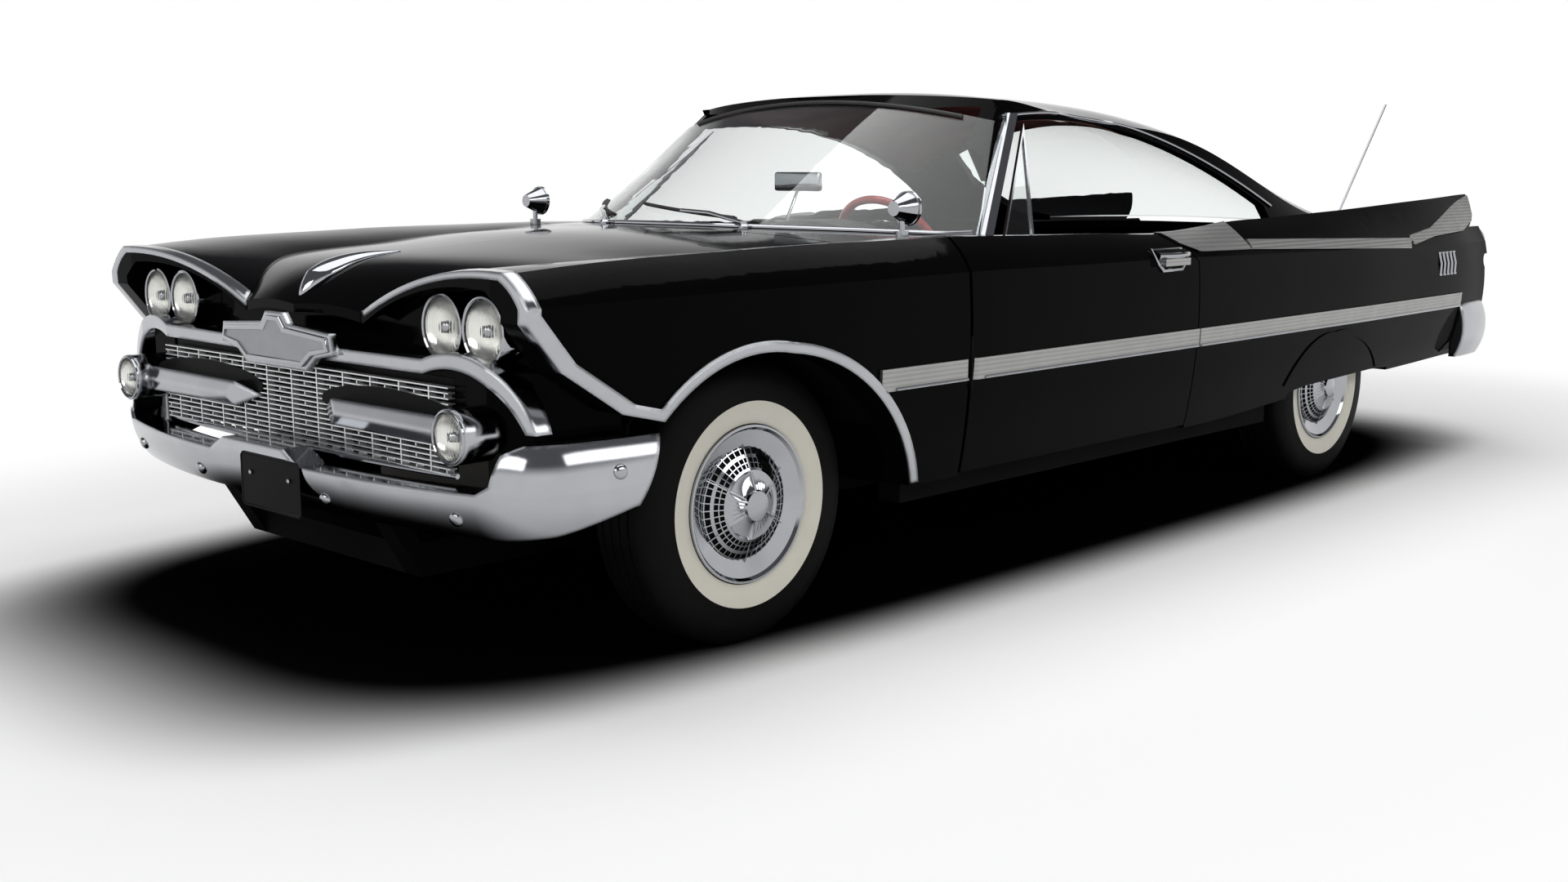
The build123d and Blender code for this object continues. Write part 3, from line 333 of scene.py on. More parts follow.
GRILLE_SILVER = Finish("grille_silver", (0.78, 0.79, 0.80), (0.66, 0.67, 0.68), metallic=0.7,
                       roughness=(0.22, 0.34), scales=(20.0, 800.0))
LAMP_SILVER = Finish("lamp_silver", (0.90, 0.90, 0.87), (0.80, 0.80, 0.77), metallic=1.0,
                     roughness=(0.16, 0.26), scales=(25.0, 500.0))
BADGE_GREY = Finish("badge_grey", (0.30, 0.31, 0.33), (0.24, 0.25, 0.27), metallic=0.9,
                    roughness=(0.28, 0.36), scales=(20.0, 700.0), bump=0.0002)
CLEAR_GLASS = Finish("clear_glass", (0.95, 0.98, 0.97), (0.93, 0.97, 0.96), roughness=(0.0, 0.01),
                     transmission=1.0, ior=1.30, scales=(2.0, 100.0))
LENS_GLASS = Finish("fluted_lens_glass", (0.96, 0.96, 0.94), (0.90, 0.90, 0.88), roughness=(0.02, 0.06),
                    transmission=1.0, ior=1.25, scales=(30.0, 300.0),
                    ribs=Ribs(Direction.ACROSS, 0.0085, 0.0010, 0.10))
RED_LENS = Finish("red_lens", (0.36, 0.008, 0.010), (0.22, 0.005, 0.006), roughness=(0.06, 0.12), coat=0.6,
                  ribs=Ribs(Direction.UP, 0.006, 0.0006, 0.2))
TYRE_BLACK = Finish("tyre_black", (0.0030, 0.0030, 0.0030), (0.0060, 0.0060, 0.0056), roughness=(0.45, 0.6),
                    bump=0.0006, scales=(12.0, 700.0), specular=0.06)
WHITEWALL = Finish("whitewall", (0.84, 0.81, 0.71), (0.77, 0.74, 0.64), roughness=(0.4, 0.5),
                   bump=0.0003, scales=(18.0, 500.0))
BLACK_ENAMEL = Finish("black_enamel", (0.003, 0.003, 0.003), (0.006, 0.006, 0.006), roughness=(0.25, 0.4),
                      scales=(25.0, 600.0), specular=0.03)
BLACK_RUBBER = Finish("black_rubber", (0.010, 0.010, 0.010), (0.018, 0.018, 0.018), roughness=(0.5, 0.65),
                      bump=0.0003, scales=(20.0, 900.0))
RED_VINYL = Finish("red_vinyl", (0.30, 0.014, 0.018), (0.22, 0.010, 0.013), roughness=(0.32, 0.45),
                   bump=0.0006, scales=(10.0, 900.0))
PLEATED_VINYL = Finish("pleated_red_vinyl", (0.30, 0.014, 0.018), (0.22, 0.010, 0.013),
                       roughness=(0.32, 0.45), bump=0.0006, scales=(10.0, 900.0),
                       ribs=Ribs(Direction.ACROSS, 0.055, 0.010, 0.35))
RED_GLOSS = Finish("red_gloss_plastic", (0.48, 0.030, 0.028), (0.38, 0.022, 0.022), roughness=(0.14, 0.22),
                   scales=(12.0, 400.0), coat=0.3)
CREAM_ENAMEL = Finish("cream_enamel", (0.55, 0.53, 0.42), (0.46, 0.44, 0.34), roughness=(0.18, 0.28),
                      scales=(12.0, 400.0), coat=0.3)
DARK_PAD = Finish("dark_dash_pad", (0.020, 0.020, 0.022), (0.032, 0.032, 0.034), roughness=(0.4, 0.55),
                  bump=0.0005, scales=(10.0, 900.0))
ROOF_LINING = Finish("brown_roof_lining", (0.26, 0.085, 0.060), (0.20, 0.065, 0.046), roughness=(0.6, 0.75),
                     bump=0.0006, scales=(9.0, 1100.0), ribs=Ribs(Direction.ALONG, 0.24, 0.006, 0.25))
CARPET = Finish("dark_carpet", (0.050, 0.010, 0.010), (0.030, 0.008, 0.008), roughness=(0.8, 0.95),
                bump=0.002, scales=(30.0, 1400.0), specular=0.1)
UNDERBODY = Finish("underbody_black", (0.002, 0.002, 0.002), (0.005, 0.005, 0.005), roughness=(0.6, 0.8),
                   bump=0.0008, scales=(5.0, 250.0), specular=0.03)
CAST_IRON = Finish("cast_iron", (0.05, 0.05, 0.05), (0.08, 0.07, 0.06), metallic=0.5, roughness=(0.5, 0.7),
                   bump=0.001, scales=(8.0, 350.0))

SLOT_FINISHES: Dict[str, Finish] = {
    "paint": BLACK_PAINT,
    "chrome": CHROME,
    "silver": SATIN_TRIM,
    "glass": CLEAR_GLASS,
    "lens_clear": LENS_GLASS,
    "lens_red": RED_LENS,
    "tyre": TYRE_BLACK,
    "underbody": UNDERBODY,
    "iron": CAST_IRON,
    "red_leather": RED_VINYL,
    "red_plastic": RED_GLOSS,
}
OWN_FINISHES: Dict[str, Finish] = {
    "dashboard": DARK_PAD,
    "steering_column": CREAM_ENAMEL,
    "brow_mouldings": ROUNDED_CHROME,
    "grille_surround": ROUNDED_CHROME,
    "front_bumper": ROUNDED_CHROME,
    "rear_bumper": ROUNDED_CHROME,
}


def dress_cad_nodes() -> None:
    """Gives every CAD node its own finish, or that of its material slot."""
    for part in frame["record"]["subparts"]:
        node = frame["nodes"][part["node"]]
        finish = OWN_FINISHES.get(part["node"], SLOT_FINISHES[part["material_slot"]])
        node.data.materials.clear()
        node.data.materials.append(finish.material())


class Skin:
    """The surface of a CAD node, for setting pieces on it."""

    def __init__(self, node: str) -> None:
        """Reads the node's triangles."""
        data = frame["nodes"][node].data
        corners = [vertex.co.copy() for vertex in data.vertices]
        self.tree = BVHTree.FromPolygons(corners, [tuple(face.vertices) for face in data.polygons])

    def hit(self, start: Vector, aim: Vector) -> Tuple[Vector, Vector]:
        """Finds where a straight line from a point meets the surface.

        Args:
            start: Where the line starts.
            aim: Its direction.

        Returns:
            The point met, or the nearest one if the line misses, and the outward normal there.
        """
        place, normal, _, _ = self.tree.ray_cast(start, aim)
        if place is None:
            place, normal, _, _ = self.tree.find_nearest(start)
        if normal.dot(aim) > 0.0:
            normal = -normal
        return place, normal

    def beside(self, side: Side, station: float, z: float) -> Vector:
        """Returns the outermost point on one side of the car at a station and a height."""
        return self.hit(spot(side.value * FAR_X, station, z), side.out(-1.0))[0]


def lathe(profile: Sequence[Flat], steps: int = 64, closed: bool = False) -> Mesh:
    """Spins a profile about the local Z axis.

    Args:
        profile: (radius, height) points.
        steps: Steps round the axis.
        closed: Whether the last point joins the first.

    Returns:
        The spun mesh.
    """
    mesh = bmesh.new()
    verts = [mesh.verts.new((radius, 0.0, height)) for radius, height in profile]
    ends = verts[1:] + [verts[0]] if closed else verts[1:]
    edges = [mesh.edges.new(pair) for pair in zip(verts, ends)]
    bmesh.ops.spin(mesh, geom=verts + edges, cent=(0, 0, 0), axis=(0, 0, 1), dvec=(0, 0, 0),
                   angle=2 * math.pi, steps=steps, use_merge=True, use_duplicate=False)
    bmesh.ops.remove_doubles(mesh, verts=mesh.verts, dist=1e-6)
    bmesh.ops.recalc_face_normals(mesh, faces=mesh.faces)
    return mesh


def round_section(radius: float, height: float, thickness: float, count: int) -> List[Flat]:
    """Returns a circle of points as a profile for a ring of round section.

    Args:
        radius: Radius of the ring.
        height: Its height.
        thickness: Radius of the section.
        count: Points round the section.

    Returns:
        The (radius, height) points.
    """
    turns = [2 * math.pi * i / count for i in range(count)]
    return [(radius + thickness * math.cos(turn), height + thickness * math.sin(turn)) for turn in turns]


def soften(mesh: Mesh, bevel: float) -> None:
    """Rounds every edge of a mesh, unless the width is 0."""
    if bevel > 0.0:
        bmesh.ops.bevel(mesh, geom=mesh.edges[:], offset=bevel, segments=2, profile=0.5, affect="EDGES",
                        material=-1)


def thicken(mesh: Mesh, outward: Vector, depth: float) -> None:
    """Turns a sheet's faces outward and makes it solid."""
    mesh.normal_update()
    if sum(face.normal.dot(outward) for face in mesh.faces) < 0.0:
        bmesh.ops.reverse_faces(mesh, faces=mesh.faces)
    bmesh.ops.solidify(mesh, geom=mesh.faces[:], thickness=depth)


def plate(outline: Sequence[Flat], depth: float, bevel: float = 0.0) -> Mesh:
    """Raises a flat outline in local X and Y into a plate along local Z.

    Args:
        outline: Corners of the outline.
        depth: Thickness.
        bevel: Width of the rounded edges.

    Returns:
        The closed plate.
    """
    mesh = bmesh.new()
    face = mesh.faces.new([mesh.verts.new((x, y, 0.0)) for x, y in outline])
    grown = bmesh.ops.extrude_face_region(mesh, geom=[face])["geom"]
    moved = [item for item in grown if isinstance(item, bmesh.types.BMVert)]
    bmesh.ops.translate(mesh, vec=(0, 0, depth), verts=moved)
    bmesh.ops.holes_fill(mesh, edges=[edge for edge in mesh.edges if edge.is_boundary], sides=0)
    bmesh.ops.recalc_face_normals(mesh, faces=mesh.faces)
    soften(mesh, bevel)
    return mesh


def slab(low: Sequence[float], high: Sequence[float], bevel: float = 0.0) -> Mesh:
    """Makes a block between two corners.

    Args:
        low: Lowest corner.
        high: Highest corner.
        bevel: Width of the rounded edges.

    Returns:
        The block.
    """
    mesh = bmesh.new()
    size = [b - a for a, b in zip(low, high)]
    middle = [(a + b) / 2 for a, b in zip(low, high)]
    bmesh.ops.create_cube(mesh, size=1.0, matrix=Matrix.Translation(middle) @ Matrix.Diagonal((*size, 1.0)))
    soften(mesh, bevel)
    return mesh


def tube(points: Sequence[Vector], radius: float, sides: int = 10) -> Mesh:
    """Carries a circle along a line of points.

    Args:
        points: The line's points.
        radius: Radius of the tube.
        sides: Sides of its section.

    Returns:
        The closed tube.
    """
    mesh = bmesh.new()
    heading = points[1] - points[0]
    bmesh.ops.create_circle(mesh, cap_ends=False, segments=sides, radius=radius,
                            matrix=Matrix.Translation(points[0]) @ facing(heading))
    rim = mesh.edges[:]
    for i in range(1, len(points)):
        ahead = points[min(i + 1, len(points) - 1)] - points[i - 1]
        made = bmesh.ops.extrude_edge_only(mesh, edges=rim)["geom"]
        ring = [item for item in made if isinstance(item, bmesh.types.BMVert)]
        members = set(ring)
        rim = [item for item in made if isinstance(item, bmesh.types.BMEdge) and set(item.verts) <= members]
        bend = heading.rotation_difference(ahead).to_matrix()
        bmesh.ops.rotate(mesh, verts=ring, cent=points[i - 1], matrix=bend)
        bmesh.ops.translate(mesh, verts=ring, vec=points[i] - points[i - 1])
        heading = ahead
    bmesh.ops.holes_fill(mesh, edges=[edge for edge in mesh.edges if edge.is_boundary], sides=0)
    bmesh.ops.recalc_face_normals(mesh, faces=mesh.faces)
    return mesh


def along_line(line: Sequence[Flat], share: float) -> Flat:
    """Returns the point at a share of a line, counted by its points."""
    place = share * (len(line) - 1)
    i = min(int(place), len(line) - 2)
    part = place - i
    return tuple(a + (b - a) * part for a, b in zip(line[i], line[i + 1]))


def side_sheet(skin: Skin, side: Side, lower: Line, upper: Line, lift: float) -> Mesh:
    """Lays a thin sheet on the side of the car between two lines.

    Args:
        skin: Surface that carries it.
        side: Side of the car.
        lower: (station, z) points of its lower edge.
        upper: As many points of its upper edge.
        lift: How far it stands proud.

    Returns:
        The closed sheet.
    """
    mesh = bmesh.new()
    bmesh.ops.create_grid(mesh, x_segments=24, y_segments=6, size=1.0)
    for vert in mesh.verts:
        low = along_line(lower, (vert.co.x + 1.0) / 2)
        high = along_line(upper, (vert.co.x + 1.0) / 2)
        rise = (vert.co.y + 1.0) / 2
        station, z = (a + (b - a) * rise for a, b in zip(low, high))
        vert.co = skin.beside(side, station, z) + side.out(lift)
    thicken(mesh, side.out(1.0), lift)
    return mesh


class Piece:
    """One piece in the making: parts are put in place one after another, and then it joins a body."""

    def __init__(self, name: str, finishes: Sequence[Finish]) -> None:
        """Starts an empty piece with its finishes in order."""
        self.name = name
        self.finishes = finishes
        self.mesh = bmesh.new()

    def put(self, part: Mesh, place: Matrix = Matrix.Identity(4), finish: Optional[int] = 0) -> None:
        """Puts a part in place.

        Args:
            part: The part, which is used up.
            place: Where it goes.
            finish: Number of its finish, or None to keep the one that its faces have.
        """
        bmesh.ops.transform(part, matrix=place, verts=part.verts)
        if place.to_3x3().determinant() < 0.0:
            bmesh.ops.reverse_faces(part, faces=part.faces)
        if finish is not None:
            for face in part.faces:
                face.material_index = finish
        data = bpy.data.meshes.new("part")
        part.to_mesh(data)
        part.free()
        self.mesh.from_mesh(data)
        bpy.data.meshes.remove(data)

    def join(self, body: str, sharp: float = 35.0) -> bpy.types.Object:
        """Makes the object and lets it ride on a body.

        Args:
            body: Name of the body.
            sharp: Angle in degrees above which edges stay sharp.

        Returns:
            The new object.
        """
        data = bpy.data.meshes.new(self.name)
        self.mesh.to_mesh(data)
        self.mesh.free()
        for finish in self.finishes:
            data.materials.append(finish.material())
        data.shade_smooth()
        data.set_sharp_from_angle(angle=math.radians(sharp))
        piece = add_object(self.name, data)
        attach(piece, body)
        LOG.info("%s: %d faces on %s", self.name, len(data.polygons), body)
        return piece


@dataclass
class RoadWheel:
    """A tyre with its white wall, and the bright wheel cover, of one corner."""

    corner: str
    x: float
    station: float
    side: Side
    radius: float = 0.3549
    tread_half: float = 0.066
    crown: float = 0.5
    grooves: Tuple[float, ...] = (-0.045, -0.015, 0.015, 0.045)
    groove_half: float = 0.003
    groove_depth: float = 0.006
    groove_taper: float = 0.7
    white: Flat = (0.2005, 0.2575)
    white_from: float = 0.07
    white_wall: Line = ((0.2587, 0.1032), (0.2575, 0.1014), (0.230, 0.0985), (0.2005, 0.0890),
                        (0.197, 0.0850), (0.186, 0.064))
    wall: Line = ((0.186, -0.064), (0.205, -0.086), (0.235, -0.098), (0.262, -0.1025), (0.300, -0.0995),
                  (0.332, -0.089), (0.346, -0.077))
    rolled_edge: Line = ((0.196, 0.068), (0.1995, 0.088), (0.1975, 0.0945), (0.192, 0.0950), (0.178, 0.080),
                         (0.163, 0.0685), (0.152, 0.066))
    cells: int = 44
    cell_rings: Tuple[float, ...] = (0.154, 0.139, 0.124, 0.118, 0.105, 0.092, 0.087)
    cell_base: float = 0.068
    cell_slope: float = 0.50
    cell_wall: float = 0.0019
    cell_lip: float = 0.0004
    cell_depth: float = 0.004
    gap_half: float = 0.003
    flutes: int = 72
    flute_band: Flat = (0.044, 0.084)
    flute_depth: float = 0.0028
    cone: Line = ((0.080, 0.002), (0.048, 0.012), (0.040, 0.014))
    cap: Line = ((0.040, 0.0), (0.037, 0.007), (0.022, 0.012), (0.0, 0.013))
    sectors: int = 3
    sector_width: float = math.radians(62.0)
    sector_depth: float = 0.0060
    rib: Line = ((-0.0026, 0.034), (0.0026, 0.034), (0.0018, 0.158), (-0.0018, 0.158))
    rib_depth: float = 0.006
    rib_lean: float = -0.36
    rib_lift: float = 0.010

    def build(self) -> None:
        """Builds the tyre and the cover."""
        self._tyre()
        self._cover()

    def _place(self) -> Matrix:
        """Returns the place of the wheel, its own Z outwards along the axle."""
        turn = Matrix.Rotation(self.side.value * math.pi / 2, 4, "Y")
        return Matrix.Translation(spot(self.x, self.station, HUB_Z)) @ turn

    def _tread(self, offset: float) -> float:
        """Returns the tread's radius at an offset from the middle."""
        return self.radius - self.crown * offset * offset

    def _profile(self) -> List[Flat]:
        """Returns the tyre's section as (radius, offset) points from the inner bead to the outer."""
        inner = list(self.wall) + [(self._tread(self.tread_half), -self.tread_half)]
        tread = []
        for middle in self.grooves:
            floor = self._tread(middle) - self.groove_depth
            half = self.groove_half
            foot = half * self.groove_taper
            tread += [(self._tread(middle - half), middle - half), (floor, middle - foot)]
            tread += [(floor, middle + foot), (self._tread(middle + half), middle + half)]
        outer = [(radius, -offset) for radius, offset in reversed(inner[3:])]
        return inner + tread + outer + list(self.white_wall)

    def _tyre(self) -> None:
        """Spins the tyre and whitens its wall."""
        mesh = lathe(self._profile(), 96, closed=True)
        for face in mesh.faces:
            middle = face.calc_center_median()
            is_white = self.white[0] - 0.001 < middle.xy.length < self.white[1]
            face.material_index = int(middle.z > self.white_from and is_white)
        piece = Piece(f"white_wall_tyre_{self.corner}", (TYRE_BLACK, WHITEWALL))
        piece.put(mesh, self._place(), None)
        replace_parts(piece.join(f"wheel_{self.corner}"), f"tyre_{self.corner}")

    def _cell_height(self, radius: float) -> float:
        """Returns the height of the cover's cone of cells at a radius."""
        return self.cell_base + (self.cell_rings[0] - radius) * self.cell_slope

    def _cells(self) -> Mesh:
        """Returns the cone with its rings of sunk dark cells."""
        mesh = lathe([(radius, self._cell_height(radius)) for radius in self.cell_rings], self.cells)
        gaps = [(self.cell_rings[i] + self.cell_rings[i + 1]) / 2 for i in (2, 5)]
        cells = []
        for face in mesh.faces:
            reach = face.calc_center_median().xy.length
            if all(abs(reach - gap) > self.gap_half for gap in gaps):
                cells.append(face)
        if sum(face.normal.z for face in mesh.faces) < 0.0:
            bmesh.ops.reverse_faces(mesh, faces=mesh.faces)
        bmesh.ops.inset_individual(mesh, faces=cells, thickness=self.cell_wall, depth=0.0)
        bmesh.ops.inset_individual(mesh, faces=cells, thickness=self.cell_lip, depth=-self.cell_depth)
        for face in cells:
            face.material_index = 1
        return mesh

    def _flutes(self) -> Mesh:
        """Returns the cone inside the cells, fluted in sectors and sunk between them."""
        start = self._cell_height(self.cell_rings[-1])
        profile = [(self.cell_rings[-1], start)] + [(radius, start + rise) for radius, rise in self.cone]
        mesh = lathe(profile, self.flutes)
        for vert in mesh.verts:
            if not self.flute_band[0] < vert.co.xy.length < self.flute_band[1]:
                continue
            angle = math.atan2(vert.co.y, vert.co.x) % (2 * math.pi)
            if angle % (2 * math.pi / self.sectors) > self.sector_width:
                vert.co.z -= self.sector_depth
            elif round(angle * self.flutes / (2 * math.pi)) % 2:
                vert.co.z -= self.flute_depth
        return mesh

    def _cover(self) -> None:
        """Builds the cover: rolled edge, cone of cells, fluted cone, cap and thin ribs."""
        place = self._place()
        piece = Piece(f"wheel_cover_{self.corner}", (CHROME, BLACK_ENAMEL))
        piece.put(lathe(self.rolled_edge, 96), place)
        piece.put(self._cells(), place, None)
        piece.put(self._flutes(), place)
        top = self._cell_height(self.cell_rings[-1]) + self.cone[-1][1]
        piece.put(lathe([(radius, top + rise) for radius, rise in self.cap], 48), place)
        lean = Matrix.Translation((0, 0, top + self.rib_lift)) @ Matrix.Rotation(self.rib_lean, 4, "X")
        for i in range(self.sectors):
            for edge in (0.0, self.sector_width):
                turn = Matrix.Rotation(2 * math.pi * i / self.sectors + edge - math.pi / 2, 4, "Z")
                piece.put(plate(self.rib, self.rib_depth, 0.0012), place @ turn @ lean)
        piece.join(f"wheel_{self.corner}")


@dataclass
class FrontLamps:
    """Bowls, lenses and rolled rims of two headlamps and a parking lamp a side; profiles are a headlamp's."""

    lamps: Line = ((0.600, 0.822), (0.754, 0.822))
    lamp_station: float = -0.684
    pod: Flat = (0.754, 0.602)
    pod_station: float = -0.784
    proud: float = 0.010
    pod_scale: float = 0.0524 / 0.0682
    bowl: Line = ((0.0665, 0.000), (0.052, -0.0075), (0.032, -0.0125), (0.0, -0.0145))
    bulb_cap: Line = ((0.013, -0.0145), (0.013, -0.006), (0.007, -0.003), (0.0, -0.002))
    rim: Line = ((0.0680, 0.000), (0.0690, 0.007), (0.0725, 0.0095), (0.0765, 0.008), (0.0790, 0.001),
                 (0.0790, -0.030), (0.0768, -0.030), (0.0768, 0.000))
    dome: Line = ((0.0682, -0.0005), (0.0682, 0.002), (0.0620, 0.0060), (0.0480, 0.0110), (0.0280, 0.0148),
                  (0.0, 0.0165))

    def build(self) -> None:
        """Builds the bowls and lenses."""
        bowls = Piece("lamp_bowls_and_rims", (CHROME, LAMP_SILVER))
        lenses = Piece("lamp_lenses_fluted", (LENS_GLASS,))
        for side in Side:
            for x, z in self.lamps:
                self._lamp(bowls, lenses, spot(side.value * x, self.lamp_station, z), 1.0)
            x, z = self.pod
            self._lamp(bowls, lenses, spot(side.value * x, self.pod_station, z), self.pod_scale)
        bowls.join("body")
        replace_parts(lenses.join("body"), "lamp_lenses")

    def _lamp(self, bowls: Piece, lenses: Piece, centre: Vector, scale: float) -> None:
        """Adds one lamp.

        Args:
            bowls: Piece that takes the bowl, bulb cap and rim.
            lenses: Piece that takes the lens.
            centre: Middle of the lamp's seat.
            scale: Size against a headlamp.
        """
        lift = Matrix.Translation((0, 0, self.proud))
        place = Matrix.Translation(centre) @ FORWARD @ lift @ Matrix.Diagonal((scale, scale, 1.0, 1.0))
        bowls.put(lathe(self.bowl, 48), place, 1)
        bowls.put(lathe(self.bulb_cap, 24), place)
        bowls.put(lathe(self.rim, 64, closed=True), place)
        lenses.put(lathe(self.dome, 64), place)


@dataclass
class Grille:
    """Fine brick grille, the dark pockets above its wings and the bright line below it."""

    half: float = 0.662
    low: float = 0.500
    high: float = 0.694
    rows: int = 16
    front: float = -0.7325
    back: float = -0.7135
    pitch: float = 0.118
    wire: float = 0.0015
    upright: float = 0.0024
    upright_proud: float = 0.0012
    short_upright: float = 0.002
    pocket: Point = (0.425, -0.7345, 0.626)
    pocket_size: Point = (0.285, 0.047, 0.02)
    wall_low: Point = (-0.648, -0.704, 0.502)
    wall_high: Point = (0.648, -0.700, 0.712)
    line: Point = (0.66, -0.742, 0.494)
    line_sweep: float = 0.030
    line_steps: int = 6

    def build(self) -> None:
        """Builds lattice, pockets and lower line."""
        self._lattice()
        self._pockets()
        self._lower_line()

    def _lattice(self) -> None:
        """Builds level wires, uprights, and short uprights between them in every other row."""
        piece = Piece("grille_lattice", (GRILLE_SILVER,))
        near, far = y_of(self.front), y_of(self.back)
        step = (self.high - self.low) / self.rows
        for i in range(self.rows + 1):
            z = self.low + i * step
            piece.put(slab((-self.half, near, z - self.wire), (self.half, far, z + self.wire)))
        count = int(self.half / self.pitch)
        for i in range(-count, count + 1):
            x = i * self.pitch
            start = near - self.upright_proud
            piece.put(slab((x - self.upright, start, self.low), (x + self.upright, far, self.high)))
        for row in range(0, self.rows, 2):
            z = self.low + row * step
            for i in range(-count - 1, count + 1):
                x = (i + 0.5) * self.pitch
                piece.put(slab((x - self.short_upright, near, z), (x + self.short_upright, far, z + step)))
        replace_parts(piece.join("body"), "grille")

    def _pockets(self) -> None:
        """Builds the dark oval pockets and the dark wall behind the lattice."""
        piece = Piece("grille_pockets", (BLACK_ENAMEL,))
        for side in Side:
            mesh = bmesh.new()
            bmesh.ops.create_circle(mesh, cap_ends=True, segments=48, radius=1.0)
            bmesh.ops.inset_region(mesh, faces=mesh.faces[:], thickness=0.06, depth=-0.02)
            x, station, z = self.pocket
            place = Matrix.Translation(spot(side.value * x, station, z)) @ FORWARD
            piece.put(mesh, place @ Matrix.Diagonal((*self.pocket_size, 1.0)))
        piece.put(slab(spot(*self.wall_low), spot(*self.wall_high)))
        piece.join("body")

    def _lower_line(self) -> None:
        """Builds the bright line under the grille."""
        piece = Piece("grille_lower_line", (CHROME,))
        half, station, z = self.line
        shares = [i / self.line_steps for i in range(-self.line_steps, self.line_steps + 1)]
        points = [spot(share * half, station + self.line_sweep * abs(share) ** 3, z) for share in shares]
        piece.put(tube(points, 0.0065))
        piece.join("body")


@dataclass
class NoseTrim:
    """The bright dart on the hood and the blank bow-shaped badge over the grille."""

    dart_front: float = -0.700
    dart_rear: float = -0.404
    dart_half: float = 0.045
    dart_height: float = 0.034
    dart_widest: float = 0.28
    dart_tallest: float = 0.10
    dart_taper: float = 0.8
    dart_fall: float = 0.92
    dart_sink: float = -0.2
    badge: Line = ((0.132, 0.701), (0.176, 0.731), (0.250, 0.745), (0.241, 0.779), (0.055, 0.791),
                   (0.031, 0.817))
    badge_station: float = -0.7735
    badge_depth: float = 0.008
    badge_edge: float = 0.003
    badge_border: float = 0.009
    badge_sink: float = -0.004

    def build(self) -> None:
        """Builds dart and badge."""
        self._dart()
        self._badge()

    def _dart(self) -> None:
        """Builds the dart from a sphere drawn out along the hood: a blunt head and a long tapered tail."""
        skin = Skin("hood")
        mesh = bmesh.new()
        bmesh.ops.create_uvsphere(mesh, u_segments=32, v_segments=24, radius=1.0, matrix=FORWARD)
        for vert in mesh.verts:
            share = min(max((vert.co.y + 1.0) / 2, 0.0), 1.0)
            ring = math.sqrt(max(1.0 - vert.co.y ** 2, 1e-9))
            wide = math.sqrt(share / self.dart_widest)
            if share >= self.dart_widest:
                wide = (1.0 - (share - self.dart_widest) / (1.0 - self.dart_widest)) ** self.dart_taper
            tall = math.sqrt(share / self.dart_tallest)
            if share >= self.dart_tallest:
                tall = 1.0 - self.dart_fall * (share - self.dart_tallest) / (1.0 - self.dart_tallest)
            x = vert.co.x / ring * wide * self.dart_half
            station = self.dart_front + (self.dart_rear - self.dart_front) * share
            surface, _ = skin.hit(spot(x, station, 1.3), Vector((0, 0, -1)))
            rise = max(vert.co.z / ring, self.dart_sink) * tall * self.dart_height
            vert.co = Vector((x, y_of(station), surface.z + rise))
        bmesh.ops.remove_doubles(mesh, verts=mesh.verts, dist=1e-5)
        bmesh.ops.recalc_face_normals(mesh, faces=mesh.faces)
        piece = Piece("hood_dart", (CHROME,))
        piece.put(mesh)
        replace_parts(piece.join("hood", 60.0), "hood_ornament")

    def _badge(self) -> None:
        """Builds the badge with a raised border round a plain sunk face."""
        outline = list(self.badge) + [(-x, z) for x, z in reversed(self.badge)]
        mesh = plate(outline, self.badge_depth, self.badge_edge)
        front = max(mesh.faces, key=lambda face: face.calc_area() * (face.normal.z > 0.9))
        bmesh.ops.inset_region(mesh, faces=[front], thickness=self.badge_border, depth=0.0)
        bmesh.ops.inset_region(mesh, faces=[front], thickness=0.002, depth=self.badge_sink)
        for face in mesh.faces:
            face.material_index = int(face == front)
        piece = Piece("blank_bow_badge", (CHROME, BADGE_GREY))
        piece.put(mesh, Matrix.Translation((0, y_of(self.badge_station), 0)) @ FORWARD, None)
        piece.join("body")


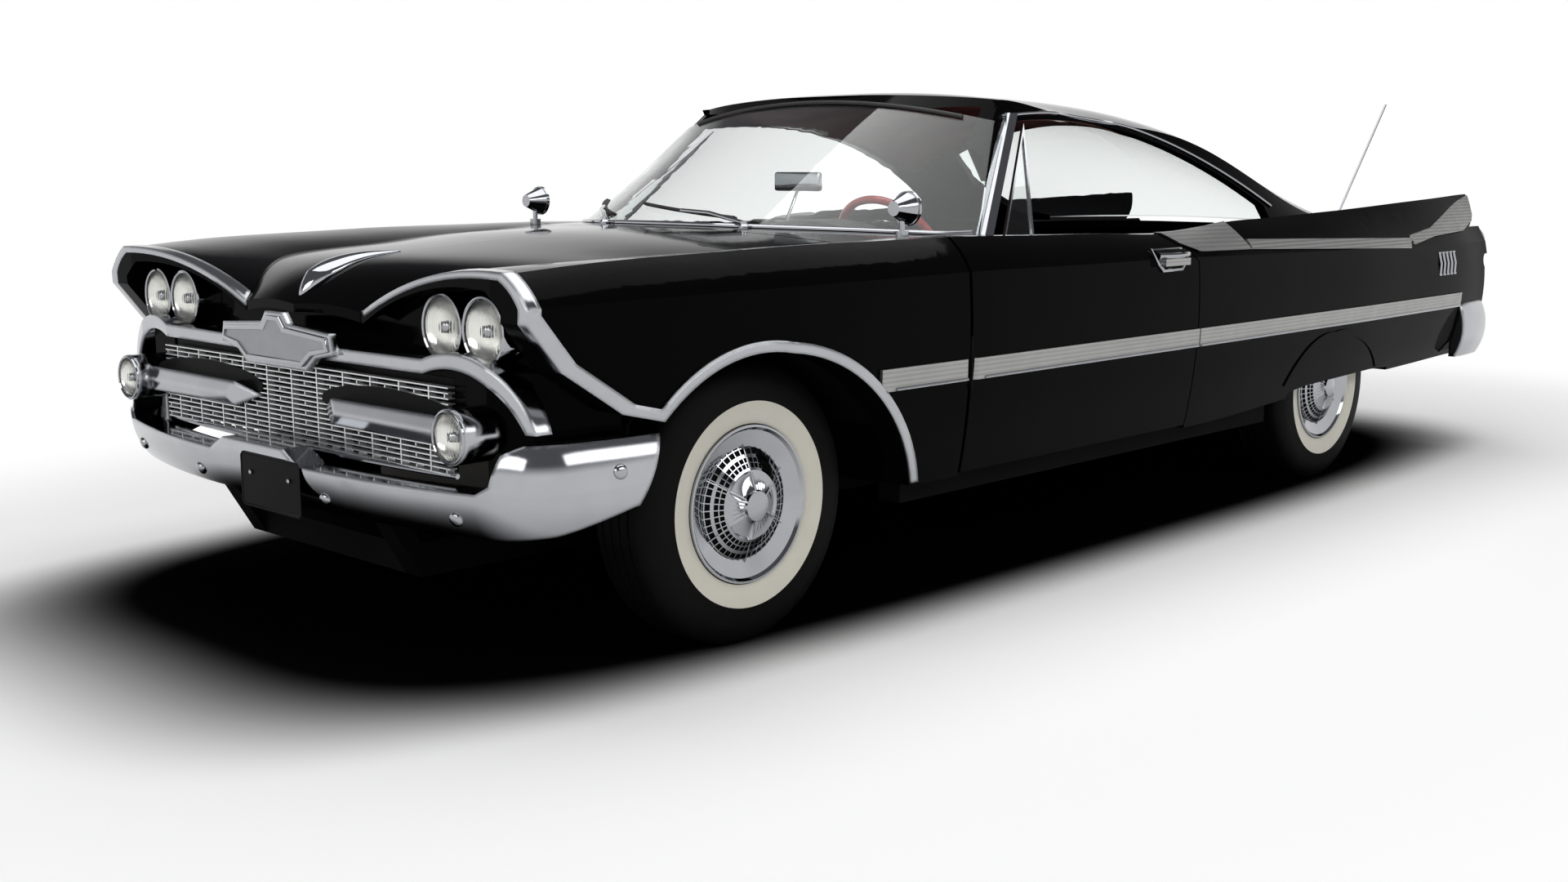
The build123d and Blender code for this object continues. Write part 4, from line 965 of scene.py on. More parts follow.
@dataclass
class FrontBumperTrim:
    """Bolt heads of the front bumper, and the blank plate."""

    front_bolts: Line = ((0.300, 0.409), (0.738, 0.417))
    side_bolt: Flat = (-0.514, 0.520)
    plate_x: float = 0.090
    plate_z: Flat = (0.354, 0.488)
    plate_half: float = 0.1385
    plate_station: float = -0.8528
    plate_cut: float = 0.010
    plate_depth: float = 0.0018
    plate_border: float = 0.005
    bolt_spacing: float = 0.178
    bolt_z: float = 0.440
    bolt: Line = ((0.0175, -0.003), (0.0175, 0.0015), (0.0150, 0.0055), (0.0090, 0.0085), (0.0, 0.0096))
    plate_bolt_proud: float = 0.0016
    plate_bolt: Line = ((0.006, 0.0), (0.006, 0.003), (0.004, 0.0045), (0.0, 0.005))

    def build(self) -> None:
        """Builds the bolts and the plate."""
        skin = Skin("front_bumper")
        bolts = Piece("bumper_bolts", (CHROME,))
        for side in Side:
            for x, z in self.front_bolts:
                self._bolt(bolts, *skin.hit(spot(side.value * x, -1.2, z), Vector((0, 1, 0))))
            station, z = self.side_bolt
            self._bolt(bolts, *skin.hit(spot(side.value * FAR_X, station, z), side.out(-1.0)))
        bolts.join("body")
        self._plate()

    def _bolt(self, piece: Piece, place: Vector, normal: Vector) -> None:
        """Adds a domed bolt head on a surface."""
        piece.put(lathe(self.bolt, 32), Matrix.Translation(place) @ facing(normal))

    def _plate(self) -> None:
        """Builds the plain dark plate with a raised border and its two bolts."""
        piece = Piece("blank_front_plate", (BLACK_ENAMEL, CHROME))
        low, high = self.plate_z
        half, cut = self.plate_half, self.plate_cut
        tall = (high - low) / 2
        outline = [(-half + cut, -tall), (half - cut, -tall), (half, -tall + cut), (half, tall - cut)]
        outline += [(half - cut, tall), (-half + cut, tall), (-half, tall - cut), (-half, -tall + cut)]
        mesh = plate(outline, self.plate_depth)
        front = [face for face in mesh.faces if face.normal.z > 0.9]
        bmesh.ops.inset_region(mesh, faces=front, thickness=self.plate_border, depth=0.0)
        bmesh.ops.inset_region(mesh, faces=front, thickness=0.0015, depth=-0.001)
        middle = spot(self.plate_x, self.plate_station, (low + high) / 2)
        piece.put(mesh, Matrix.Translation(middle) @ FORWARD)
        for sign in (-1, 1):
            x = self.plate_x + sign * self.bolt_spacing / 2
            place = spot(x, self.plate_station - self.plate_bolt_proud, self.bolt_z)
            piece.put(lathe(self.plate_bolt, 20), Matrix.Translation(place) @ FORWARD, 1)
        piece.join("body")


@dataclass
class Greenhouse:
    """Drip rails, the bright line round the windscreen and the wipers."""

    base_half: float = 0.850
    base_depth: float = 0.440
    base_middle: float = 0.485
    base_z: float = 0.975
    top_half: float = 0.615
    top_depth: float = 0.115
    top_middle: float = 1.204
    top_z: float = 1.400
    crown_half: float = 0.660
    crown_drop: float = 0.072
    crown_z: float = 1.384
    rail: float = 0.0065
    rail_lift: float = 0.016
    rail_proud: float = 0.003
    rail_span: Flat = (1.285, 2.735)
    window_top: Line = ((1.270, 1.306), (1.900, 1.300), (2.690, 1.044))
    samples: int = 32
    foot_share: float = 0.985
    head_share: float = 0.92
    line: float = 0.0075
    wipers: Tuple[Point, ...] = ((0.307, 0.225, -0.235), (-0.307, -0.365, -0.735))
    pivot_at: Flat = (0.541, 1.000)
    pivot: Line = ((0.016, 0.0), (0.016, 0.008), (0.010, 0.014), (0.009, 0.022), (0.0, 0.024))
    blade_z: Flat = (1.026, 1.060)
    blade_steps: int = 10
    arm: float = 0.0062
    holder: float = 0.0048
    holder_lift: Point = (0.0, -0.012, 0.004)
    rubber: float = 0.0052
    rubber_lift: Point = (0.0, -0.004, 0.001)

    def build(self) -> None:
        """Builds rails, surround and wipers."""
        self._drip_rails()
        self._surround()
        self._wipers()

    def glass(self, share: float, z: float) -> Vector:
        """Finds a point on the windscreen's outer face.

        Args:
            share: From -1 at the right edge to 1 at the left.
            z: Height.

        Returns:
            The point.
        """
        ends = []
        for half, depth, middle in ((self.base_half, self.base_depth, self.base_middle),
                                    (self.top_half, self.top_depth, self.top_middle)):
            radius = (half * half + depth * depth) / (2 * depth)
            angle = share * math.asin(half / radius)
            ends.append((radius * math.sin(angle), middle + radius - radius * math.cos(angle)))
        rise = (z - self.base_z) / (self.top_z - self.base_z)
        x, station = (low + (high - low) * rise for low, high in zip(*ends))
        return spot(x, station, z)

    def glass_at(self, x: float, z: float) -> Vector:
        """Returns the point of the windscreen at an x and a height."""
        low, high = -1.1, 1.1
        for _ in range(30):
            middle = (low + high) / 2
            if self.glass(middle, z).x < x:
                low = middle
            else:
                high = middle
        return self.glass(low, z)

    def _drip_rails(self) -> None:
        """Builds the bright rails over the side windows and down the rear pillars."""
        skin = Skin("roof_panel")
        piece = Piece("drip_rails", (CHROME,))
        first, last = self.rail_span
        for side in Side:
            points = []
            for i in range(self.samples):
                station = first + (last - first) * i / (self.samples - 1)
                z = 0.0
                for place, height in self.window_top:
                    others = [other for other, _ in self.window_top if other != place]
                    z += height * math.prod((station - other) / (place - other) for other in others)
                points.append(skin.beside(side, station, z + self.rail_lift) + side.out(self.rail_proud))
            piece.put(tube(points, self.rail))
        piece.join("body")

    def _surround(self) -> None:
        """Builds the bright line along the windscreen's foot and its black upper seal."""
        cowl = Skin("cowl_panel")
        foot = []
        head = []
        radius = (self.crown_half ** 2 + self.crown_drop ** 2) / (2 * self.crown_drop)
        for i in range(self.samples + 1):
            share = self.foot_share * (2 * i / self.samples - 1)
            place = self.glass(share, self.base_z + 0.02)
            above, _ = cowl.hit(place + Vector((0, -0.012, 0.2)), Vector((0, 0, -1)))
            foot.append(Vector((place.x, place.y - 0.006, above.z + 0.004)))
            z = self.crown_z - 0.02
            for _ in range(4):
                x = self.glass(share, z).x
                z = self.crown_z - 0.006 - (radius - math.sqrt(radius * radius - x * x))
            if abs(share) < self.head_share:
                head.append(self.glass(share, z) + Vector((0, -0.003, 0)))
        for name, finish, points in (("foot", CHROME, foot), ("head", BLACK_RUBBER, head)):
            piece = Piece(f"windscreen_{name}_line", (finish,))
            piece.put(tube(points, self.line))
            piece.join("body")

    def _wipers(self) -> None:
        """Builds both wipers: pivot, arm, blade holder and rubber."""
        piece = Piece("wipers_detailed", (CHROME, BLACK_RUBBER))
        low_z, high_z = self.blade_z
        shares = [i / self.blade_steps for i in range(self.blade_steps + 1)]
        for pivot_x, low_x, high_x in self.wipers:
            pivot = spot(pivot_x, *self.pivot_at)
            piece.put(lathe(self.pivot, 24), Matrix.Translation(pivot))
            ends = ((low_x, low_z), (high_x, high_z))
            blade = [self.glass_at(*along_line(ends, share)) for share in shares]
            lifted = [place + Vector(self.holder_lift) for place in blade]
            rubber = [place + Vector(self.rubber_lift) for place in blade]
            start = pivot + Vector((0, -0.002, 0.018))
            end = lifted[self.blade_steps // 2]
            middle = (start + end) / 2 + Vector((0, -0.010, 0.010))
            piece.put(tube([start, middle, end], self.arm))
            piece.put(tube(lifted, self.holder), finish=1)
            piece.put(tube(rubber, self.rubber), finish=1)
        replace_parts(piece.join("body"), "wipers")


@dataclass
class SideTrim:
    """Door handle frames, bright beads under the side mouldings and the five small bars on each quarter."""

    bead_z: float = 0.6165
    bead: float = 0.0048
    bead_step: float = 0.08
    handle: Line = ((1.612, 0.924), (1.784, 0.924), (1.776, 0.884), (1.752, 0.862), (1.646, 0.862),
                    (1.622, 0.884))
    handle_middle: Flat = (1.698, 0.893)
    handle_rim: float = 0.0065
    handle_proud: float = 0.004
    cup_depth: float = 0.008
    cup_sink: float = 0.006
    grip_z: float = 0.908
    grip_radius: float = 0.0095
    grip: Line = ((1.612, 0.010), (1.64, 0.022), (1.67, 0.028), (1.70, 0.030), (1.73, 0.028), (1.76, 0.022),
                  (1.784, 0.010))
    bar_start: float = 3.775
    bar_step: float = 0.037
    bars: int = 5
    bar_z: Flat = (0.752, 0.838)
    bar_foot: Point = (0.004, 0.011, 0.004)
    bar_radius: float = 0.0055
    bar_arch: float = 0.006
    fin_lift: float = 0.008
    fin_lower: Line = ((3.760, 0.928), (3.900, 0.945), (4.080, 0.960), (4.200, 0.940), (4.262, 0.953),
                       (4.308, 0.978), (4.390, 1.052))
    fin_upper: Line = ((3.762, 0.938), (3.900, 0.968), (4.050, 1.000), (4.150, 1.020), (4.220, 1.033),
                       (4.300, 1.045), (4.392, 1.058))

    def build(self) -> None:
        """Builds the trim of both sides."""
        for side in Side:
            door = f"door_{side.label}"
            self._beads(side, f"fender_bead_{side.label}", "body", "body_mouldings", (0.385, 0.676))
            self._beads(side, f"door_bead_{side.label}", door, f"door_trim_{side.label}", (0.752, 1.860))
            self._beads(side, f"quarter_bead_{side.label}", "body", "body_mouldings", (1.876, 3.985))
            self._handle(side, door)
            self._bars(side)
            self._fin_end(side)

    def _beads(self, side: Side, name: str, body: str, node: str, span: Flat) -> None:
        """Lays a bright bead along a moulding.

        Args:
            side: Side of the car.
            name: The piece's name.
            body: Body that it rides on.
            node: The moulding's node.
            span: Stations where it starts and ends.
        """
        skin = Skin(node)
        count = max(4, int((span[1] - span[0]) / self.bead_step))
        stations = [span[0] + (span[1] - span[0]) * i / count for i in range(count + 1)]
        points = [skin.beside(side, station, self.bead_z) for station in stations]
        piece = Piece(name, (CHROME,))
        piece.put(tube(points, self.bead, 8))
        piece.join(body)

    def _handle(self, side: Side, door: str) -> None:
        """Builds the handle's bright frame, its dark cup and the grip."""
        skin = Skin(door)
        piece = Piece(f"door_handle_{side.label}", (CHROME, BLACK_ENAMEL))
        corners = self.handle + self.handle[:2]
        rim = [skin.beside(side, station, z) + side.out(self.handle_proud) for station, z in corners]
        piece.put(tube(rim, self.handle_rim))
        middle = skin.beside(side, *self.handle_middle)
        cup = [(station - self.handle_middle[0], z - self.handle_middle[1]) for station, z in self.handle]
        turn = Matrix.Diagonal((side.value, 1, 1, 1)) @ SIDEWAYS
        sunk = Matrix.Translation(middle + side.out(-self.cup_sink))
        piece.put(plate(cup, self.cup_depth), sunk @ turn, 1)
        bar = [Vector((middle.x, y_of(station), self.grip_z)) + side.out(arch) for station, arch in self.grip]
        piece.put(tube(bar, self.grip_radius))
        piece.join(door)

    def _bars(self, side: Side) -> None:
        """Builds the five upright bars with their feet."""
        skin = Skin("quarter_panels")
        piece = Piece(f"quarter_bars_{side.label}", (CHROME,))
        low, high = self.bar_z
        for i in range(self.bars):
            station = self.bar_start + i * self.bar_step
            foot = skin.beside(side, station, low)
            head = skin.beside(side, station, high)
            middle = (foot + head) / 2 + side.out(self.bar_arch)
            piece.put(tube([foot, middle, head], self.bar_radius, 8))
            for end in (foot, head):
                piece.put(slab(end - Vector(self.bar_foot), end + Vector(self.bar_foot), 0.0015))
        piece.join("body")

    def _fin_end(self, side: Side) -> None:
        """Lays the ribbed trim that sweeps up to the fin's tip."""
        piece = Piece(f"fin_end_{side.label}", (SATIN_TRIM,))
        piece.put(side_sheet(Skin("quarter_panels"), side, self.fin_lower, self.fin_upper, self.fin_lift))
        piece.join("body")


@dataclass
class FenderMirrors:
    """Glass and rolled rims of the fender mirrors."""

    x: float = 0.800
    station: float = 0.677
    z: float = 1.064
    rim: Line = ((0.0400, 0.0010), (0.0415, 0.0045), (0.0445, 0.0060), (0.0475, 0.0030), (0.0470, -0.0060),
                 (0.0440, -0.0060))
    glass: Line = ((0.0420, 0.0012), (0.0200, 0.0020), (0.0, 0.0023))

    def build(self) -> None:
        """Builds both glasses in their rims."""
        piece = Piece("fender_mirror_glasses", (CHROME, BLACK_ENAMEL))
        for side in Side:
            place = Matrix.Translation(spot(side.value * self.x, self.station, self.z)) @ BACKWARD
            piece.put(lathe(self.rim, 48, closed=True), place)
            piece.put(lathe(self.glass, 48), place, 1)
        piece.join("body")


@dataclass
class TailLamps:
    """Domed red lenses in bright rings, two a side."""

    lamps: Tuple[Point, ...] = ((0.868, 4.385, 0.866), (0.884, 4.328, 0.712))
    ring: Line = ((0.0530, 0.0000), (0.0550, 0.0070), (0.0590, 0.0080), (0.0610, 0.0030), (0.0600, -0.0200),
                  (0.0560, -0.0200))
    dome: Line = ((0.0540, 0.0), (0.0540, 0.004), (0.0490, 0.015), (0.0360, 0.028), (0.0180, 0.036),
                  (0.0, 0.038))

    def build(self) -> None:
        """Builds rings and lenses."""
        rings = Piece("tail_lamp_rings", (CHROME,))
        lenses = Piece("tail_lamp_domes", (RED_LENS,))
        for side in Side:
            for x, station, z in self.lamps:
                place = Matrix.Translation(spot(side.value * x, station, z)) @ BACKWARD
                rings.put(lathe(self.ring, 56, closed=True), place)
                lenses.put(lathe(self.dome, 56), place)
        rings.join("body")
        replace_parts(lenses.join("body"), "tail_lamp_lenses")


@dataclass
class SteeringWheel:
    """Steering wheel: round rim, two spokes, hub and bright horn ring."""

    hub: Point = (0.370, 1.130, 0.905)
    lean: float = math.radians(-60.0)
    rim: Point = (0.198, 0.0, 0.0125)
    horn_ring: Point = (0.118, 0.006, 0.0045)
    spoke: Line = ((0.0, -0.015), (0.090, -0.011), (0.192, -0.016), (0.192, 0.016), (0.090, 0.011),
                   (0.0, 0.015))
    hub_cap: Line = ((0.038, -0.032), (0.040, -0.010), (0.034, 0.004), (0.018, 0.011), (0.0, 0.013))

    def build(self) -> None:
        """Builds the wheel on its column's line."""
        place = Matrix.Translation(spot(*self.hub)) @ Matrix.Rotation(self.lean, 4, "X")
        piece = Piece("steering_wheel_detailed", (RED_GLOSS, CHROME, CREAM_ENAMEL))
        piece.put(lathe(round_section(*self.rim, 12), 72, closed=True), place)
        for angle in (math.pi, 0.0):
            turn = Matrix.Rotation(angle, 4, "Z") @ Matrix.Translation((0, 0, -0.009))
            piece.put(plate(self.spoke, 0.009, 0.002), place @ turn, 2)
        piece.put(lathe(self.hub_cap, 40), place, 2)
        piece.put(lathe(round_section(*self.horn_ring, 8), 64, closed=True), place, 1)
        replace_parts(piece.join("steering_wheel"), "steering_wheel")


@dataclass
class Bench:
    """A bench seat: a skirt on the floor, a stuffed cushion and a stuffed leaning back."""

    name: str
    node: str
    front: float
    rear: float
    half: float
    cushion_z: float
    back_z: float
    floor_z: float = 0.309
    voxel: float = 0.016
    pressure: float = 4.0
    cap: float = 0.024
    frames: int = 20
    skirt_top: float = 0.42
    skirt_rear: float = 0.08
    toe: float = 0.02
    lean: float = 0.16
    edge: float = 0.03
    swell: float = 0.025
    cushion_rear: float = 0.17
    back_span: Flat = (0.155, 0.065)
    back_overlap: float = 0.07

    def build(self) -> None:
        """Builds skirt, cushion and back."""
        base = Piece(f"{self.name}_skirt", (RED_VINYL,))
        low = spot(-self.half + self.toe, self.front, self.floor_z)
        high = spot(self.half - self.toe, self.rear - self.skirt_rear, self.skirt_top)
        base.put(slab(low, high, 0.012))
        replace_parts(base.join("body"), self.node)
        half = self.half - self.edge
        low = spot(-half, self.front + self.toe, self.skirt_top + 0.005)
        high = spot(half, self.rear - self.cushion_rear, self.cushion_z - self.swell)
        self._pad(f"{self.name}_cushion", slab(low, high, self.edge), 0.0)
        near, far = self.back_span
        low = spot(-half, self.rear - near, self.cushion_z - self.back_overlap)
        high = spot(half, self.rear - far, self.back_z - self.swell)
        self._pad(f"{self.name}_back", slab(low, high, self.edge), self.lean)

    def _pad(self, name: str, mesh: Mesh, lean: float) -> None:
        """Stuffs a block into a pad and lets it ride on the body.

        Args:
            name: The piece's name.
            mesh: The block to swell.
            lean: How far its top goes back for its height.
        """
        foot = min(vert.co.z for vert in mesh.verts)
        for vert in mesh.verts:
            vert.co.y += lean * (vert.co.z - foot)
        data = bpy.data.meshes.new(name)
        mesh.to_mesh(data)
        mesh.free()
        plain = self._baked(data, self._remesh)
        swollen = self._baked(plain, self._inflate)
        for old, new in zip(plain.vertices, swollen.vertices):
            move = new.co - old.co
            if move.length > self.cap:
                new.co = old.co + move.normalized() * self.cap
        plain = swollen
        bpy.context.scene.frame_set(1)
        plain = self._baked(plain, self._refine)
        plain.name = name
        plain.materials.clear()
        plain.materials.append(PLEATED_VINYL.material())
        plain.shade_smooth()
        piece = add_object(name, plain)
        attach(piece, "body")
        LOG.info("%s: %d faces on body", name, len(plain.polygons))

    def _baked(self, data: bpy.types.Mesh, dress: Callable[[bpy.types.Object], None]) -> bpy.types.Mesh:
        """Puts a mesh in a helper object and applies a modifier to it.

        Args:
            data: The mesh.
            dress: Adds the modifier to the helper.

        Returns:
            The changed mesh.
        """
        helper = add_object("pad_helper", data)
        dress(helper)
        view = bpy.context.evaluated_depsgraph_get()
        made = bpy.data.meshes.new_from_object(helper.evaluated_get(view))
        bpy.data.objects.remove(helper)
        return made

    def _remesh(self, piece: bpy.types.Object) -> None:
        """Adds an even mesh of small faces."""
        remesh = piece.modifiers.new("even", "REMESH")
        remesh.mode = "VOXEL"
        remesh.voxel_size = self.voxel

    def _refine(self, piece: bpy.types.Object) -> None:
        """Adds one subdivision."""
        finer = piece.modifiers.new("finer", "SUBSURF")
        finer.levels = 1
        finer.render_levels = 1

    def _inflate(self, piece: bpy.types.Object) -> None:
        """Runs the cloth under pressure for a few frames."""
        cloth = piece.modifiers.new("stuffing", "CLOTH")
        cloth.settings.use_pressure = True
        cloth.settings.uniform_pressure_force = self.pressure
        cloth.settings.effector_weights.gravity = 0.0
        cloth.point_cache.frame_start = 1
        cloth.point_cache.frame_end = self.frames
        for number in range(1, self.frames + 1):
            bpy.context.scene.frame_set(number)


@dataclass
class Cabin:
    """Roof lining, side linings, carpet, instrument hood and the small mirror on the dashboard."""

    lining_x: float = 0.866
    lining_depth: float = 0.008
    door_gap: float = 0.0085
    strip_z: float = 0.700
    strip_gap: float = 0.03
    strip_radius: float = 0.004
    door_outline: Line = ((0.985, 0.400), (1.830, 0.400), (1.830, 0.880), (1.772, 0.925), (0.985, 0.935))
    quarter_outline: Line = ((1.890, 0.400), (2.540, 0.400), (2.540, 0.900), (1.890, 0.900))
    carpets: Line = ((0.760, 1.400), (2.000, 2.560))
    carpet_half: float = 0.800
    carpet_z: Flat = (0.3092, 0.3150)
    sight_z: float = 1.050
    roof_span: Flat = (1.345, 2.540)
    roof_edge: Point = (0.640, 1.312, 0.190)
    roof_bend: float = 1.600
    roof_gap: float = 0.005
    roof_depth: float = 0.003
    hood_at: Point = (0.370, 0.875, 0.938)
    hood_size: Point = (0.210, 0.062, 0.150)
    hood_foot: float = 0.022
    hood_steps: int = 12
    dial: Line = ((0.036, 0.0), (0.040, 0.003), (0.043, 0.0), (0.043, -0.004))
    dial_x: Tuple[float, ...] = (0.265, 0.370, 0.475)
    dial_at: Flat = (0.876, 0.975)
    mirror_foot: Point = (0.125, 0.880, 0.930)
    mirror_head: Point = (0.125, 0.965, 1.112)
    mirror_case: Tuple[Point, Point] = ((-0.095, -0.014, -0.012), (0.095, 0.006, 0.046))
    mirror_glass: Tuple[Point, Point] = ((-0.088, 0.0055, -0.006), (0.088, 0.008, 0.040))

    def build(self) -> None:
        """Builds the cabin's linings and small pieces."""
        self._roof_lining()
        for side in Side:
            self._lining(side, f"door_lining_{side.label}", f"door_{side.label}", self.door_outline,
                         self.lining_x + self.door_gap)
            self._lining(side, f"quarter_lining_{side.label}", "body", self.quarter_outline, self.lining_x)
        carpet = Piece("cabin_carpet", (CARPET,))
        low, high = self.carpet_z
        for front, rear in self.carpets:
            carpet.put(slab(spot(-self.carpet_half, front, low), spot(self.carpet_half, rear, high), 0.002))
        carpet.join("body")
        self._instruments()
        self._mirror()

    def _roof_lining(self) -> None:
        """Hangs the lining under the roof and down to the upper edges of the side windows."""
        skin = Skin("roof_panel")
        first, last = self.roof_span
        half, top, bend = self.roof_edge
        mesh = bmesh.new()
        bmesh.ops.create_grid(mesh, x_segments=36, y_segments=30, size=1.0)
        for vert in mesh.verts:
            station = first + (vert.co.y + 1.0) / 2 * (last - first)
            edge = top - bend * max(0.0, station - self.roof_bend) ** 2
            angle = vert.co.x * math.atan2(half, edge - self.sight_z)
            aim = Vector((math.sin(angle), 0, math.cos(angle)))
            start = spot(0.0, station, self.sight_z)
            place, _ = skin.hit(start, aim)
            vert.co = start + aim * ((place - start).length - self.roof_gap)
        thicken(mesh, Vector((0, 0, -1)), self.roof_depth)
        piece = Piece("roof_lining", (ROOF_LINING,))
        piece.put(mesh)
        piece.join("body")

    def _lining(self, side: Side, name: str, body: str, outline: Sequence[Flat], x: float) -> None:
        """Hangs a side lining with a bright strip.

        Args:
            side: Side of the car.
            name: The piece's name.
            body: Body that it rides on.
            outline: (station, z) corners.
            x: Distance of its outer face from the middle of the car.
        """
        piece = Piece(name, (RED_VINYL, CHROME))
        inner = x - self.lining_depth
        left = Matrix.Translation((inner, FRONT_AXLE_Y, 0)) @ SIDEWAYS
        piece.put(plate(outline, self.lining_depth, 0.002), Matrix.Diagonal((side.value, 1, 1, 1)) @ left)
        stations = [station for station, _ in outline]
        ends = (min(stations) + self.strip_gap, max(stations) - self.strip_gap)
        strip = [spot(side.value * inner, end, self.strip_z) for end in ends]
        piece.put(tube(strip, self.strip_radius, 8), finish=1)
        piece.join(body)

    def _instruments(self) -> None:
        """Builds the hood over the instruments in front of the driver."""
        piece = Piece("instrument_hood", (DARK_PAD, CHROME))
        half, rise, depth = self.hood_size
        turns = [math.pi * i / self.hood_steps for i in range(self.hood_steps + 1)]
        arch = [(-half * math.cos(turn), self.hood_foot + rise * math.sin(turn)) for turn in turns]
        outline = [(-half, 0.0)] + arch + [(half, 0.0)]
        piece.put(plate(outline, depth, 0.006), Matrix.Translation(spot(*self.hood_at)) @ FORWARD)
        for x in self.dial_x:
            piece.put(lathe(self.dial, 36), Matrix.Translation(spot(x, *self.dial_at)) @ BACKWARD, 1)
        piece.join("body")

    def _mirror(self) -> None:
        """Builds the small mirror on its post."""
        piece = Piece("dashboard_mirror", (CHROME, BLACK_ENAMEL))
        foot, head = spot(*self.mirror_foot), spot(*self.mirror_head)
        piece.put(tube([foot, (foot + head) / 2 + Vector((0, -0.008, 0)), head], 0.005))
        for finish, corners, bevel in ((0, self.mirror_case, 0.007), (1, self.mirror_glass, 0.001)):
            low, high = (head + Vector(corner) for corner in corners)
            piece.put(slab(low, high, bevel), finish=finish)
        piece.join("body")


@dataclass(frozen=True)
class SoftLamp:
    """A rectangular lamp: where it hangs, what it looks at, its size in metres and its power in watts."""

    name: str
    place: Point
    target: Point
    size: Flat
    power: float


